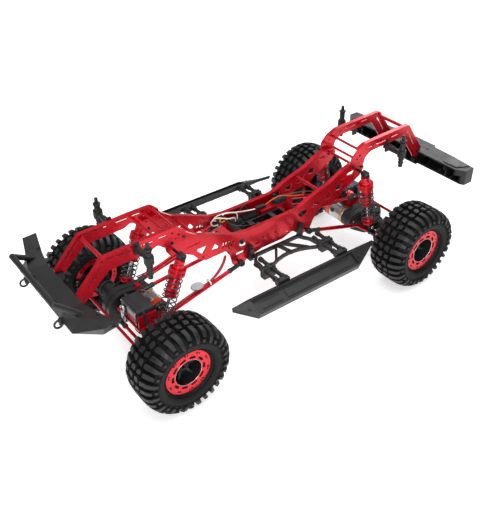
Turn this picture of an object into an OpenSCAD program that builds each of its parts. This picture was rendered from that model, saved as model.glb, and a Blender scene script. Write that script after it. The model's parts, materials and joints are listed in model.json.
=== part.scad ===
// Four wheel crawler chassis with a motor and a steering servo on each axle.
// X points forward, Y points left, Z points up; the origin is on the ground, midway
// between the axles. Parts of one axle are drawn as the front axle, and the rear axle
// is the same axle turned half way round the origin.

/* [Wheels] */
// Outer diameter of a tyre
tyre_d = 170; // [168:1:172]
// Width of a tyre
tyre_w = 83; // [80:1:84]
// Distance between the two axles
wheelbase = 560; // [558:1:562]
// Distance between the middles of the left and right tyres
track = 320; // [318:1:324]
// Outer diameter of a beadlock ring
ring_d = 87; // [85:1:88]
// Number of screws and of slots in a beadlock ring
ring_holes = 10; // [8:1:12]

/* [Frame] */
// Thickness of the folded sheet plates
sheet_t = 2.5; // [2:0.5:2.5]
// Distance from the middle plane to the outside of the main rails
rail_y = 42.5; // [42:0.5:43]
// Width of the folded top edge of a main rail
flange_w = 6; // [4:1:8]
// Radius of the clamped cross tubes
cross_r = 3.5; // [3:0.5:4]

/* [Suspension] */
// Radius of the link rods
link_r = 3.5; // [3:0.5:4]
// Radius of a shock body
shock_r = 10.5; // [9:0.5:10.5]
// Radius of a shock shaft
shaft_r = 3; // [2.5:0.5:3]
// Mean radius of a coil spring
spring_r = 13.4; // [13:0.1:13.6]
// Radius of the spring wire
spring_wire_r = 1.1; // [0.8:0.1:1.2]
// Coils in a spring
spring_turns = 8; // [6:1:9]

/* [Drive] */
// Module of the gear teeth
gear_module = 1.5; // [1.5:0.1:1.5]
// Teeth of the axle gear
drive_teeth = 38; // [38:1:38]
// Teeth of the motor pinion
pinion_teeth = 18; // [18:1:18]
// Radius of the motor can
motor_r = 18; // [17:0.5:18]
// Length of the motor can
motor_l = 57; // [50:1:57]

/* [Body mounts] */
// Radius of the pin on top of a body post
post_pin_r = 3.2; // [3:0.1:3.5]
// Height of the front post tops
front_post_z = 282; // [276:1:286]
// Height of the rear post tops
rear_post_z = 290; // [284:1:294]

/* [Hidden] */
$fn = 48;

red = "#c8102e";
black = "#202123";
grey = "#3a3c40";
silver = "#c9ccd0";

axle_x = wheelbase / 2;
axle_z = tyre_d / 2;
wheel_y = track / 2;
rail_in = rail_y - sheet_t;
plate_out = rail_y + sheet_t;

// Pivot points of one axle as [x, z]: the chassis ends differ front and rear.
// Each set is [lower link, upper link, shock top, kink of the lower link].
front_pivots = [[70, 132], [60, 168], [204, 214], [230, 96]];
rear_pivots = [[95, 136], [83, 172], [226, 222], [228, 96]];
lower_end = [264, 70];
upper_end = [258, 133];
shock_end = [252, 92];
lower_in_y = 54;
lower_out_y = 72;
upper_in_y = 33;
upper_out_y = 12;
shock_y = 66;
pin_r = 2.5;
run_gap = 0.05;

// Steering: the kingpins, the tie rod, the drag link and the servo's output.
king_y = 120;
tie_x = axle_x + 42;
tie_z = 95;
drag_x = axle_x + 32;
drag_z = 99;
horn_y = 25;
horn_z = 123;
horn_x = 305;

// Gear train: the motor lies behind the axle and a little above it.
gear_r = gear_module * drive_teeth / 2;
pinion_r = gear_module * pinion_teeth / 2;
motor_tilt = 12;
motor_x = axle_x - (gear_r + pinion_r) * cos(motor_tilt);
motor_z = axle_z + (gear_r + pinion_r) * sin(motor_tilt);
case_y0 = -42;
case_y1 = -16;
case_wall = 2.8;
gear_y0 = -38;
gear_w = 12;
bearing_r = 5;

// ---- shape helpers ----

function unit(v) = v / norm(v);

// Points of a rounded corner at b, between a and c, with radius b[2].
function corner(a, b, c, n) =
    let (p = [b.x, b.y], u = unit([a.x, a.y] - p), w = unit([c.x, c.y] - p))
    let (half = acos(u * w) / 2, m = p + unit(u + w) * b[2] / sin(half))
    let (s = unit(p + u * b[2] / tan(half) - m), e = unit(p + w * b[2] / tan(half) - m))
    [for (k = [0:n]) m + b[2] * unit(s * (n - k) + e * k)];

// Outline through points [x, y, corner radius].
function rounded(pts, n = 4) = [
    for (i = [0:len(pts) - 1])
        let (b = pts[i])
        each (b[2] == 0 ? [[b.x, b.y]]
            : corner(pts[(i + len(pts) - 1) % len(pts)], b, pts[(i + 1) % len(pts)], n))
];

// Outline round two circles, which is also a slot when the radii are equal.
function belt(p, pr, q, qr, n = 12) =
    let (d = q - p, a = atan2(d.y, d.x), t = acos((pr - qr) / norm(d)))
    concat(
        [for (k = [0:n]) p + pr * [cos(a + t + (360 - 2 * t) * k / n), sin(a + t + (360 - 2 * t) * k / n)]],
        [for (k = [0:n]) q + qr * [cos(a - t + 2 * t * k / n), sin(a - t + 2 * t * k / n)]]
    );

function gear_points(teeth, m, turn) = [
    for (i = [0:teeth - 1])
        for (s = [[-0.27, -1.2], [-0.085, 0.85], [0.085, 0.85], [0.27, -1.2]])
            let (a = turn + 360 * (i + s[0]) / teeth, r = m * (teeth / 2 + s[1]))
            r * [cos(a), sin(a)]
];

// Round tube of radius r swept along points, as one polyhedron.
module sweep(path, r, sides = 8, ref = [0.2, 0.3, 0.93]) {
    n = len(path);
    rings = [
        for (i = [0:n - 1])
            let (t = unit(path[min(i + 1, n - 1)] - path[max(i - 1, 0)]))
            let (u = unit(cross(ref, t)), w = cross(t, u))
            for (j = [0:sides - 1]) path[i] + r * (cos(360 * j / sides) * u + sin(360 * j / sides) * w)
    ];
    walls = [
        for (i = [0:n - 2])
            for (j = [0:sides - 1])
                let (k = (j + 1) % sides)
                [i * sides + j, (i + 1) * sides + j, (i + 1) * sides + k, i * sides + k]
    ];
    first = [[for (j = [0:sides - 1]) j]];
    last = [[for (j = [0:sides - 1]) (n - 1) * sides + sides - 1 - j]];
    polyhedron(points = rings, faces = concat(walls, first, last), convexity = 8);
}

// Upright plate with an [x, z] outline, between y0 and y1.
module plate(pts, y0, y1) {
    translate([0, y1, 0]) rotate([90, 0, 0]) linear_extrude(y1 - y0) polygon(pts);
}

module cyl_y(p, y0, y1, r) {
    translate([p.x, y0, p.y]) rotate([-90, 0, 0]) cylinder(h = y1 - y0, r = r);
}

module cyl_x(y, z, x0, x1, r) {
    translate([x0, y, z]) rotate([0, 90, 0]) cylinder(h = x1 - x0, r = r);
}

module cyl_z(x, y, z0, z1, r) {
    translate([x, y, z0]) cylinder(h = z1 - z0, r = r);
}

module rod(p, q, r) {
    d = q - p;
    translate(p) rotate([0, acos(d.z / norm(d)), atan2(d.y, d.x)]) cylinder(h = norm(d), r = r);
}

module both_sides() {
    children();
    mirror([0, 1, 0]) children();
}

module at_front() {
    children();
}

module at_rear() {
    rotate([0, 0, 180]) children();
}

// Wheel parts are drawn about the wheel's centre, with +Y outboard.
module at_wheel(side) {
    translate([axle_x, side * wheel_y, axle_z]) mirror([0, side < 0 ? 1 : 0, 0]) children();
}

// ---- frame ----

rail_top = [
    [222, 238, 4], [180, 241, 6], [158, 225, 20], [137, 218, 30], [107, 205, 30], [76, 192, 30],
    [45, 187, 40], [-36, 187, 40], [-74, 188, 40], [-99, 199, 40], [-125, 208, 30], [-155, 216, 20],
    [-187, 232, 30], [-209, 239, 10], [-238, 236, 6]
];
rail_bottom = [
    [-246, 222, 4], [-236, 206, 6], [-192, 185, 10], [-178, 172, 10], [-130, 166, 10], [-115, 148, 10],
    [-106, 127, 8], [-84, 126, 8], [-63, 143, 6], [-38, 135, 6], [13, 135, 10], [45, 126, 10],
    [56, 121, 8], [80, 123, 8], [86, 148, 8], [96, 164, 8], [139, 163, 4], [154, 171, 4],
    [166, 186, 8], [184, 196, 8], [197, 203, 6], [212, 205, 5], [218, 214, 6]
];

// Top edge of a main rail without its end corners, which the folded flange follows.
rail_edge = [
    for (i = [0:len(rail_top) - 1])
        i == 0 ? [218, 238.4, 0] : i == len(rail_top) - 1 ? [-233, 236.5, 0] : rail_top[i]
];

module main_rail() {
    color(red) {
        difference() {
            plate(rounded(concat(rail_top, rail_bottom)), rail_in, rail_y);
            main_rail_windows();
            main_rail_bores();
        }
        plate(rounded(concat(rail_edge, [for (i = [len(rail_edge) - 1:-1:0]) rail_edge[i] - [0, 2.2, 0]])),
            rail_in - flange_w, rail_in);
    }
}

module window(pts) {
    plate(rounded(pts, 3), rail_in - 1, plate_out + 1);
}

module slot_cut(p, q, r) {
    window([for (v = belt(p, r, q, r)) [v.x, v.y, 0]]);
}

module main_rail_windows() {
    slot_cut([150, 207], [178, 206], 0.9);
    window([[160, 194, 2], [146, 178, 2], [135, 194, 2]]);
    window([[119, 190, 2], [128, 178, 2], [108, 176, 2]]);
    for (i = [0:3]) slot_cut([100 - 6 * i, 182 - i], [102 - 6 * i, 174 - i], 2);
    window([[64, 176, 3], [50, 172, 3], [50, 156, 3], [65, 160, 3]]);
    slot_cut([58, 146], [70, 146], 3);
    window([[31, 156, 2], [20, 156, 2], [14, 148, 2], [29, 149, 2]]);
    window([[-45, 143, 2], [-54, 156, 2], [-60, 153, 2], [-52, 145, 2]]);
    window([[-76, 172, 2], [-82, 180, 2], [-100, 179, 2], [-95, 168, 2]]);
    window([[-108, 176, 2], [-113, 184, 2], [-130, 185, 2], [-126, 174, 2]]);
    window([[-140, 181, 2], [-148, 192, 2], [-163, 196, 2], [-158, 181, 2]]);
    window([[-171, 193, 2], [-176, 205, 2], [-190, 203, 2], [-186, 192, 2]]);
    slot_cut([-184, 212], [-197, 213], 0.9);
    window([[-196, 216, 2], [-203, 222, 2], [-222, 224, 2], [-216, 216, 2]]);
}

module main_rail_bores() {
    for (p = [[88, 167], [84, 161], [90, 158], [145, 172], [151, 168], [10, 158], [-20, 158]])
        cyl_y(p, rail_in - 1, rail_y + 1, 1.3);
    for (p = [front_pivots[0], front_pivots[1], front_pivots[2]])
        cyl_y(p, rail_in - 1, rail_y + 1, pin_r);
    for (p = [rear_pivots[0], rear_pivots[1], rear_pivots[2]])
        cyl_y([-p.x, p.y], rail_in - 1, rail_y + 1, pin_r);
    for (p = joint_bolts) cyl_y(p, rail_in - 1, rail_y + 1, 1.5);
}

// Bolts that join the front and rear rails to the main rails.
joint_bolts = [[184, 234], [208, 231], [-214, 232], [-236, 226]];

front_top = [[178, 228, 8], [180, 246, 12], [196, 260, 14], [240, 260, 30], [337, 257, 8], [388, 205, 3]];
front_under = [[384, 184, 4], [376, 186, 6], [327, 229, 10], [250, 232, 14], [236, 239, 8], [224, 228, 5]];
front_slots = [
    [[326, 249], [318, 250]], [[308, 249], [284, 249]], [[264, 249], [244, 249]], [[232, 250], [218, 250]]
];

module front_rails() {
    color(red) both_sides() {
        difference() {
            plate(rounded(concat(front_top, front_under)), rail_y, plate_out);
            for (s = front_slots) slot_cut(s[0], s[1], 1.4);
            slot_cut([340, 240], [368, 210], 1.4);
            for (p = [[206, 250], [194, 243], [210, 241], [200, 237], [379, 196], [338, 250]])
                cyl_y(p, rail_y - 1, plate_out + 1, 1.3);
            for (p = [joint_bolts[0], joint_bolts[1]]) cyl_y(p, rail_y - 1, plate_out + 1, 1.5);
        }
        edge = [[196, 260, 0], [240, 260, 30], [337, 257, 8], [388, 205, 0]];
        plate(rounded(concat(edge, [[386.4, 203.2, 0], [336, 254.5, 6], [240, 257.8, 28], [196, 257.8, 0]])),
            rail_y - 5, rail_y);
    }
}

rear_top = [[-207, 236, 5], [-206, 252, 14], [-222, 267, 18], [-240, 275, 16], [-364, 279, 8], [-411, 214, 5]];
rear_under = [[-403, 193, 6], [-389, 199, 6], [-347, 257, 8], [-258, 254, 18], [-244, 244, 10], [-240, 228, 6]];
rear_slots = [[[-254, 262], [-262, 263]], [[-274, 264], [-300, 265]], [[-316, 267], [-334, 268]]];

module rear_rails() {
    color(red) both_sides() {
        difference() {
            plate(rounded(concat(rear_top, rear_under)), rail_y, plate_out);
            for (s = rear_slots) slot_cut(s[0], s[1], 1.4);
            slot_cut([-364, 262], [-386, 228], 1.4);
            for (p = [[-229, 253], [-222, 247], [-233, 243], [-226, 238], [-391, 214], [-398, 206], [-244, 262]])
                cyl_y(p, rail_y - 1, plate_out + 1, 1.3);
            for (p = [joint_bolts[2], joint_bolts[3]]) cyl_y(p, rail_y - 1, plate_out + 1, 1.5);
        }
        edge = [[-222, 267, 0], [-240, 275, 16], [-364, 279, 8], [-411, 214, 0]];
        plate(rounded(concat(edge, [[-409, 212, 0], [-363, 276.6, 6], [-241, 272.8, 14], [-223, 264.8, 0]])),
            rail_y - 6, rail_y);
    }
}

// Tubes that hold the two sides apart, as [x, z, radius, half length].
cross_list = [
    [333, 249, cross_r, rail_y], [231, 244, 2.5, rail_y], [213, 251, 2.5, rail_y], [194, 250, 2.5, rail_y],
    [150, 213, cross_r, rail_in - flange_w], [-135, 203, cross_r, rail_in - flange_w],
    [-214, 252, 2.5, rail_y], [-232, 262, 2.5, rail_y], [-222, 231, 2.5, rail_in],
    [-362, 270, cross_r, rail_y - 6]
];

module cross_tubes() {
    color(red) for (t = cross_list) cyl_y([t[0], t[1]], -t[3], t[3], t[2]);
}

module floor_tray() {
    color(red) difference() {
        union() {
            translate([-112, -rail_in, 146]) cube([150, 2 * rail_in, 2]);
            translate([-112, -rail_in, 148]) cube([150, 2, 18]);
            translate([-112, rail_in - 2, 148]) cube([150, 2, 10]);
            translate([-106, -26, 148]) cube([78, 2, 24]);
            translate([-106, -12, 148]) cube([78, 2, 24]);
            translate([-106, -26, 172]) cube([78, 16, 2]);
        }
        for (x = [-92, -68, -44]) cyl_z(x, -18, 171, 175, 1.6);
        translate([-95, -2, 145]) cube([50, 16, 4]);
        translate([-20, -30, 145]) cube([40, 18, 4]);
    }
}

module battery_tray() {
    color(black) difference() {
        translate([-70, -8, 148.2]) cube([108, 44, 20]);
        translate([-67, -5, 151]) cube([102, 38, 20]);
        for (x = [-56:24:24]) translate([x, -9, 158]) cube([12, 60, 6]);
    }
}

module electronics() {
    color(black) {
        translate([-24, -36, 148.2]) cube([34, 22, 15]);
        translate([14, -37, 148.2]) cube([22, 24, 24]);
        translate([-94, -26, 174.2]) cube([30, 14, 9]);
        for (i = [0:4]) translate([-21 + 6 * i, -34, 163.2]) cube([2, 18, 5]);
        cyl_z(-98, 4, 148.2, 166, 6);
    }
}

// ---- body, bumpers and side steps ----

// Closed skin through sections of equal point count.
module loft(sections) {
    m = len(sections[0]);
    n = len(sections);
    walls = [
        for (i = [0:n - 2])
            for (j = [0:m - 1])
                let (a = i * m + j, b = i * m + (j + 1) % m)
                each [[a, b, b + m], [a, b + m, a + m]]
    ];
    first = [[for (j = [m - 1:-1:0]) j]];
    last = [[for (j = [0:m - 1]) (n - 1) * m + j]];
    polyhedron(points = [for (s = sections) each s], faces = concat(walls, first, last), convexity = 8);
}

// Sections of the front bumper as [x, y, z]: the middle, the lamp housing and the wing's end.
bumper_mid = [[429, 66, 191], [423, 66, 207], [389, 66, 204], [389, 66, 197], [412, 66, 190], [414, 66, 184]];
bumper_lamp = [[427, 99, 185], [413, 97, 210], [383, 99, 208], [383, 99, 200], [402, 97, 196], [408, 98, 183]];
bumper_tip = [[390, 130, 185], [396, 150, 214], [370, 150, 215], [371, 150, 207], [382, 142, 203], [384, 130, 185]];

module front_bumper() {
    color(black) {
        halves = [bumper_tip, bumper_lamp, bumper_mid];
        loft(concat([for (s = halves) [for (p = s) [p.x, -p.y, p.z]]], [for (i = [2:-1:0]) halves[i]]));
        both_sides() {
            rod([440, 0, 235], [440, 78, 235], 5);
            translate([440, 78, 235]) sphere(5.2);
            rod([440, 78, 235], [402, 92, 206], 5);
            translate([374, rail_y - 8.2, 184]) cube([22, 8, 14]);
            translate([425, 64, 183]) cube([8, 4, 12]);
            translate([434, 66, 185]) rotate([90, 0, 0]) rotate_extrude() translate([7, 0]) circle(1.8);
        }
    }
}

rear_step = [[-398, 0], [-398, 150], [-410, 168], [-432, 168], [-438, 110], [-440, 60], [-446, 56], [-446, 0]];

module rear_half(z0, z1, inset) {
    translate([0, 0, z0]) linear_extrude(z1 - z0)
        polygon([for (p = rear_step) [p.x + inset * (p.x < -412 ? 1 : -1), max(-1, p.y - inset)]]);
}

// The bumper is a channel that opens towards the wheels, with a rib beside each rail.
module rear_bumper() {
    color(black) both_sides() {
        difference() {
            rear_half(178, 210, 0);
            difference() {
                translate([4, 0, 0]) rear_half(181, 207, 4);
                translate([-440, 34.5, 180]) cube([46, 7.8, 28]);
                translate([-440, 120, 180]) cube([46, 3, 28]);
            }
            translate([-412, rail_y - 6.3, 190]) cube([16, 9, 24]);
            translate([-450, 84, 190]) cube([30, 10, 10]);
            translate([-405, 48, 170]) cube([30, 140, 27]);
        }
    }
}

module body_post(x, top) {
    cyl_y([x, 251], plate_out, 86, 4.5);
    translate([x - 5, plate_out, 240]) cube([10, 4, 22]);
    translate([x, 86, top - 68]) cylinder(h = 52, r1 = 4.2, r2 = 5.4);
    cyl_z(x, 86, 244, 258, 7.5);
    cyl_z(x, 86, top - 16, top, post_pin_r);
    cyl_z(x, 86, top - 13, top - 10, 6.5);
}

module body_posts() {
    color(black) both_sides() {
        body_post(276, front_post_z);
        body_post(-303, rear_post_z);
    }
}

tube_z = 142;
bracket_low = 128;
bracket_high = 134;
// Ribs of a side bracket, as [x, y] end points and a half width.
ribs = [
    [[46, 50], [-78, 50], 3], [[-16, 50], [14, 88], 2.6], [[-20, 50], [-27, 84], 2.6],
    [[-30, 50], [-62, 90], 2.6], [[30, 50], [45, 64], 2.6], [[45, 64], [50, 108], 2.6],
    [[-70, 50], [-83, 72], 2.6], [[-83, 72], [-88, 108], 2.6]
];
arch_steps = 12;

function arch_edge(half) = [
    for (k = [0:arch_steps]) [50 - 138 * k / arch_steps, 106 + half - 24 * sin(180 * k / arch_steps)]
];

module bracket_truss() {
    translate([0, 0, bracket_low]) linear_extrude(bracket_high - bracket_low) {
        for (s = ribs) polygon(belt(s[0], s[2], s[1], s[2], 4));
        polygon(concat(arch_edge(2.6), [for (i = [arch_steps:-1:0]) arch_edge(-2.6)[i]]));
    }
}

module slider_brackets() {
    color(black) both_sides() {
        bracket_truss();
        for (x = [44, -77]) translate([x - 4, rail_y + 0.3, 125]) cube([8, 10, 32]);
        for (x = [51, -88]) {
            translate([x - 13, 104, 127]) cube([26, 12, 21]);
            for (d = [-8, 8]) cyl_y([x + d, tube_z], 84 + d / 2, 155.8, 4);
            translate([x - 13, 146, 136]) cube([26, 9.8, 11]);
        }
    }
}

slider_outer = [
    [166, 156, 142], [-166, 156, 142], [-164, 160, 134], [164, 160, 134], [134, 158, 144], [-108, 158, 144],
    [132, 190, 130], [-104, 190, 130], [130, 186, 118], [-102, 186, 118], [120, 160, 124], [-100, 160, 124]
];

module slider_hull(drop, gap) {
    hull() for (p = slider_outer)
        translate([p.x * (1 - gap / 80), (p.y - 170) * (1 - gap / 14) + 170, p.z - drop]) cube(0.1);
}

module sliders() {
    color(black) both_sides() difference() {
        slider_hull(0, 0);
        slider_hull(5, 3);
        translate([-96, 158, 134]) rotate([-21, 0, 0]) translate([0, 8, 4]) cube([212, 16, 4]);
    }
}

module frame_screws() {
    color(silver) both_sides() {
        for (p = joint_bolts) {
            cyl_y(p, rail_in - 2, plate_out + 0.1, 1.45);
            cyl_y(p, plate_out + 0.1, plate_out + 2, 2.6);
        }
        for (s = [1, -1]) {
            g = s > 0 ? front_pivots : rear_pivots;
            cyl_y([s * g[0].x, g[0].y], rail_in - 2, lower_in_y + 6, pin_r - run_gap);
            cyl_y([s * g[1].x, g[1].y], upper_in_y - 5, rail_y + 1.5, pin_r - run_gap);
            cyl_y([s * g[2].x, g[2].y], rail_in - 2, shock_y + 8, pin_r - run_gap);
            cyl_y([s * g[2].x, g[2].y], shock_y + 7.5, shock_y + 10, 4.4);
        }
    }
}

// Routes of the wires that run inside the frame.
wire_routes = [
    [[22, -20, 172.5], [22, -18, 180], [10, -14, 188], [-10, -16, 184], [-40, -19, 186], [-66, -20, 184.5]],
    [[30, -24, 172.5], [32, -20, 184], [44, -10, 190], [52, 4, 178], [50, 14, 160], [46, 20, 153]],
    [[-92, -20, 184], [-110, -18, 188], [-136, -16, 190], [-160, -14, 186], [-176, -12, 176]],
    [[18, -30, 172.5], [14, -26, 184], [2, -28, 190], [-6, -26, 178], [-8, -24, 168.5]]
];

module wiring() {
    color("#d8d4cc") for (w = wire_routes) sweep(w, 1.1, 6);
}

link_lead = [
    [230, 60, 103.5], [214, 57, 106.5], [190, 55.5, 112], [164, 54.8, 117.5], [140, 54, 123],
    [122, 52, 132], [108, 50, 146], [102, 48.5, 158]
];

module link_leads() {
    color(red) both_sides() sweep(link_lead, 1.3, 6);
}

// ---- suspension ----

function at3(p, y) = [p.x, y, p.y];

module lower_links(g) {
    color(red) both_sides() {
        a = at3(g[0], lower_in_y);
        k = at3(g[3], lower_in_y + 2);
        e = at3(lower_end, lower_out_y);
        difference() {
            union() {
                rod(a, k, link_r);
                translate(k) sphere(link_r + 0.3);
                rod(k, e, link_r);
                cyl_y(g[0], lower_in_y - 4, lower_in_y + 4, 6);
                cyl_y(lower_end, lower_out_y - 4, lower_out_y + 4, 6);
            }
            cyl_y(g[0], lower_in_y - 9, lower_in_y + 9, pin_r);
            cyl_y(lower_end, lower_out_y - 9, lower_out_y + 9, pin_r);
        }
    }
}

module upper_links(g) {
    color(red) both_sides() difference() {
        union() {
            rod(at3(upper_end, upper_out_y), at3(g[1], upper_in_y), link_r);
            cyl_y(upper_end, upper_out_y - 4, upper_out_y + 4, 6);
            cyl_y(g[1], upper_in_y - 4, upper_in_y + 4, 6);
        }
        cyl_y(upper_end, upper_out_y - 8, upper_out_y + 8, pin_r + 0.3);
        cyl_y(g[1], upper_in_y - 8, upper_in_y + 8, pin_r);
    }
}

// Shock parts are drawn along -Z from the top eye and then leaned to the lower eye.
shock_body_l = 78;
shock_seat = 14;

function shock_length(g) = norm(shock_end - g[2]);

module at_shock(g) {
    d = shock_end - g[2];
    both_sides() translate([g[2].x, shock_y, g[2].y]) rotate([0, -atan2(d.x, -d.y), 0]) children();
}

module shock_bodies(g) {
    color(red) at_shock(g) difference() {
        union() {
            translate([0, -6, 0]) rotate([-90, 0, 0]) cylinder(h = 12, r = 7);
            cyl_z(0, 0, -20, -5.6, 9);
            cyl_z(0, 0, -shock_body_l, -19, shock_r);
            cyl_z(0, 0, -36, -22, 15.2);
        }
        translate([0, -8, 0]) rotate([-90, 0, 0]) cylinder(h = 16, r = pin_r);
        cyl_z(0, 0, -shock_body_l - 1, -24, shaft_r + 0.1);
    }
}

module shock_rods(g) {
    l = shock_length(g);
    color(silver) at_shock(g) difference() {
        union() {
            cyl_z(0, 0, -l + 5, -shock_body_l + 16, shaft_r);
            cyl_z(0, 0, -l + shock_seat - 3, -l + shock_seat, 14);
            translate([0, -5, -l]) rotate([-90, 0, 0]) cylinder(h = 10, r = 6.2);
        }
        translate([0, -8, -l]) rotate([-90, 0, 0]) cylinder(h = 16, r = pin_r + 0.6);
    }
}

module springs(g) {
    l = shock_length(g);
    z0 = -l + shock_seat + spring_wire_r + 0.3;
    z1 = -36 - spring_wire_r - 0.3;
    steps = spring_turns * 14;
    color(grey) at_shock(g) sweep(
        [for (i = [0:steps]) let (a = 360 * spring_turns * i / steps)
            [spring_r * cos(a), spring_r * sin(a), z0 + (z1 - z0) * i / steps]],
        spring_wire_r, 6, [0, 0, 1]);
}

// ---- axle ----

module gear_case(grow, y0, y1) {
    plate(belt([axle_x, axle_z], gear_r + 2.7 + grow, [motor_x, motor_z], pinion_r + 2.7 + grow, 20), y0, y1);
}

module axle_housing() {
    axle = [axle_x, axle_z];
    color(black) difference() {
        union() {
            cyl_y(axle, -96, 96, 13);
            gear_case(case_wall, case_y0, case_y1);
            both_sides() {
                translate([axle_x - 11, 92, axle_z - 25.5]) cube([22, 6, 51]);
                for (z = [axle_z + 18.5, axle_z - 25.5]) {
                    translate([axle_x - 11, 92, z]) cube([22, 30, 7]);
                    cyl_z(axle_x, king_y, z, z + 7, 11);
                }
                for (y = [shock_y - 9, shock_y + 7]) link_plate(y);
                for (y = [lower_out_y - 10.5, lower_out_y + 4.6]) lower_plate(y);
            }
        }
        gear_case(0, case_y0 + 3, case_y1 - 3);
        cyl_y(axle, -99, 99, bearing_r + 1.2);
        cyl_y([motor_x, motor_z], case_y1 - 4, case_y1 + 1, 5);
        both_sides() {
            cyl_y(shock_end, shock_y - 12, shock_y + 12, pin_r);
            cyl_y(lower_end, lower_out_y - 13, lower_out_y + 10, pin_r);
            cyl_z(axle_x, king_y, axle_z - 30, axle_z + 30, pin_r);
        }
    }
    color(silver) both_sides() {
        cyl_y(shock_end, shock_y - 11, shock_y + 11, pin_r - run_gap);
        cyl_y(lower_end, lower_out_y - 12, lower_out_y + 9, pin_r - run_gap);
        for (s = [1, -1]) translate([axle_x, king_y, axle_z + s * 22]) cylinder(h = 23, r = pin_r - run_gap, center = true);
    }
}

module link_plate(y) {
    plate(rounded([[axle_x - 6, axle_z + 10, 0], [axle_x - 6, axle_z - 8, 0], [shock_end.x - 6, 86, 4],
        [shock_end.x - 6, 99, 4], [shock_end.x + 8, 99, 4]]), y, y + 2.5);
}

module lower_plate(y) {
    plate(rounded([[axle_x + 6, axle_z, 0], [axle_x - 8, axle_z, 0], [lower_end.x - 7, lower_end.y + 4, 4],
        [lower_end.x - 6, lower_end.y - 7, 4], [lower_end.x + 7, lower_end.y - 7, 4]]), y, y + 2.5);
}

module servo_mount() {
    color(red) difference() {
        union() {
            translate([258, -6, 99.5]) cube([44, 78, 3.5]);
            translate([264, 67.5, 103]) cube([36, 3, 26]);
            translate([255, -6, 103]) cube([7, 12, 36]);
            for (y = [-4, 60]) translate([axle_x - 10, y, axle_z + 10]) cube([20, 10, 6]);
        }
        for (x = [272, 292]) translate([x, 66, 116]) rotate([-90, 0, 0]) cylinder(h = 6, r = 1.6);
        cyl_y([axle_x, axle_z], -10, 80, 13);
        cyl_y([upper_end.x, upper_end.y], -8, 8, pin_r);
        cyl_y([motor_x, motor_z], case_y1, 80, motor_r + 0.6);
    }
    color(silver) cyl_y(upper_end, -17.5, 17.5, pin_r - run_gap);
}

module motor() {
    color(silver) difference() {
        union() {
            cyl_y([motor_x, motor_z], case_y1 + 0.1, case_y1 + 2 + motor_l, motor_r);
            cyl_y([motor_x, motor_z], case_y1 - 2.9, case_y1 + 1, 4.9);
            cyl_y([motor_x, motor_z], case_y1 + 2 + motor_l, case_y1 + 7 + motor_l, 7);
        }
        cyl_y([motor_x, motor_z], case_y1 - 5, case_y1 + 40, 2.3);
    }
    color(black) for (s = [-1, 1])
        translate([motor_x + s * 9 - 2, case_y1 + 2 + motor_l, motor_z - 1]) cube([4, 8, 2]);
}

module motor_pinion() {
    color(silver) {
        difference() {
            translate([motor_x, gear_y0 + gear_w, motor_z]) rotate([90, 0, 0]) linear_extrude(gear_w)
                polygon(gear_points(pinion_teeth, gear_module, -motor_tilt + 180 / pinion_teeth));
            cyl_y([motor_x, motor_z], gear_y0 - 1, gear_y0 + gear_w + 1, 2);
        }
        cyl_y([motor_x, motor_z], gear_y0, case_y1 + 30, 2.2);
    }
}

module drive_gear() {
    color(grey) {
        difference() {
            translate([axle_x, gear_y0 + gear_w, axle_z]) rotate([90, 0, 0]) linear_extrude(gear_w)
                polygon(gear_points(drive_teeth, gear_module, 180 - motor_tilt));
            for (i = [0:5]) cyl_y([axle_x + 18 * cos(60 * i), axle_z + 18 * sin(60 * i)],
                gear_y0 - 1, gear_y0 + gear_w + 1, 4.5);
        }
        cyl_y([axle_x, axle_z], -114, 114, bearing_r);
        both_sides() translate([axle_x, king_y, axle_z]) sphere(6.8);
    }
}

module servo() {
    color(black) difference() {
        union() {
            translate([266, 12, 107]) cube([32.5, 54, 31]);
            translate([298, 14, 109]) cube([5, 50, 27]);
            translate([286, 7, 110]) cube([4, 5.5, 25]);
            translate([286, 65.5, 110]) cube([4, 2, 25]);
            translate([267, 13, 103.2]) cube([31, 52, 4]);
        }
        for (z = [115, 130]) cyl_x(9, z, 284, 292, 1.6);
        cyl_x(horn_y, horn_z, 290, 304, 3.2);
    }
}

module servo_horn() {
    color(silver) difference() {
        union() {
            cyl_x(horn_y, horn_z, 292, horn_x, 3.0);
            cyl_x(horn_y, horn_z, horn_x - 1.6, horn_x + 2, 7);
            translate([horn_x - 1, horn_y - 4, drag_z]) cube([3, 8, horn_z - drag_z]);
            cyl_x(horn_y, drag_z, horn_x - 1, horn_x + 2, 4.6);
            cyl_x(horn_y, drag_z, horn_x, drag_x + 5, 1.9);
        }
        cyl_x(horn_y, drag_z + 12, horn_x - 3, horn_x + 4, 1.6);
    }
}

module drag_link() {
    color(red) {
        cyl_y([drag_x, drag_z], horn_y + 3, king_y - 3, 2.8);
        difference() {
            cyl_x(horn_y, drag_z, drag_x - 4, drag_x + 4, 5);
            cyl_x(horn_y, drag_z, drag_x - 6, drag_x + 6, 1.95);
        }
        cyl_z(drag_x, king_y, drag_z - 0.2, drag_z + 4.8, 4.8);
    }
}

module tie_rod() {
    color(red) difference() {
        union() {
            cyl_y([tie_x, tie_z], 4 - king_y, king_y - 4, 2.8);
            for (s = [-1, 1]) cyl_z(tie_x, s * king_y, tie_z - 3.5, tie_z + 3.5, 4.8);
        }
        for (s = [-1, 1]) cyl_z(tie_x, s * king_y, tie_z - 5, tie_z + 5, 2);
    }
}

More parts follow.
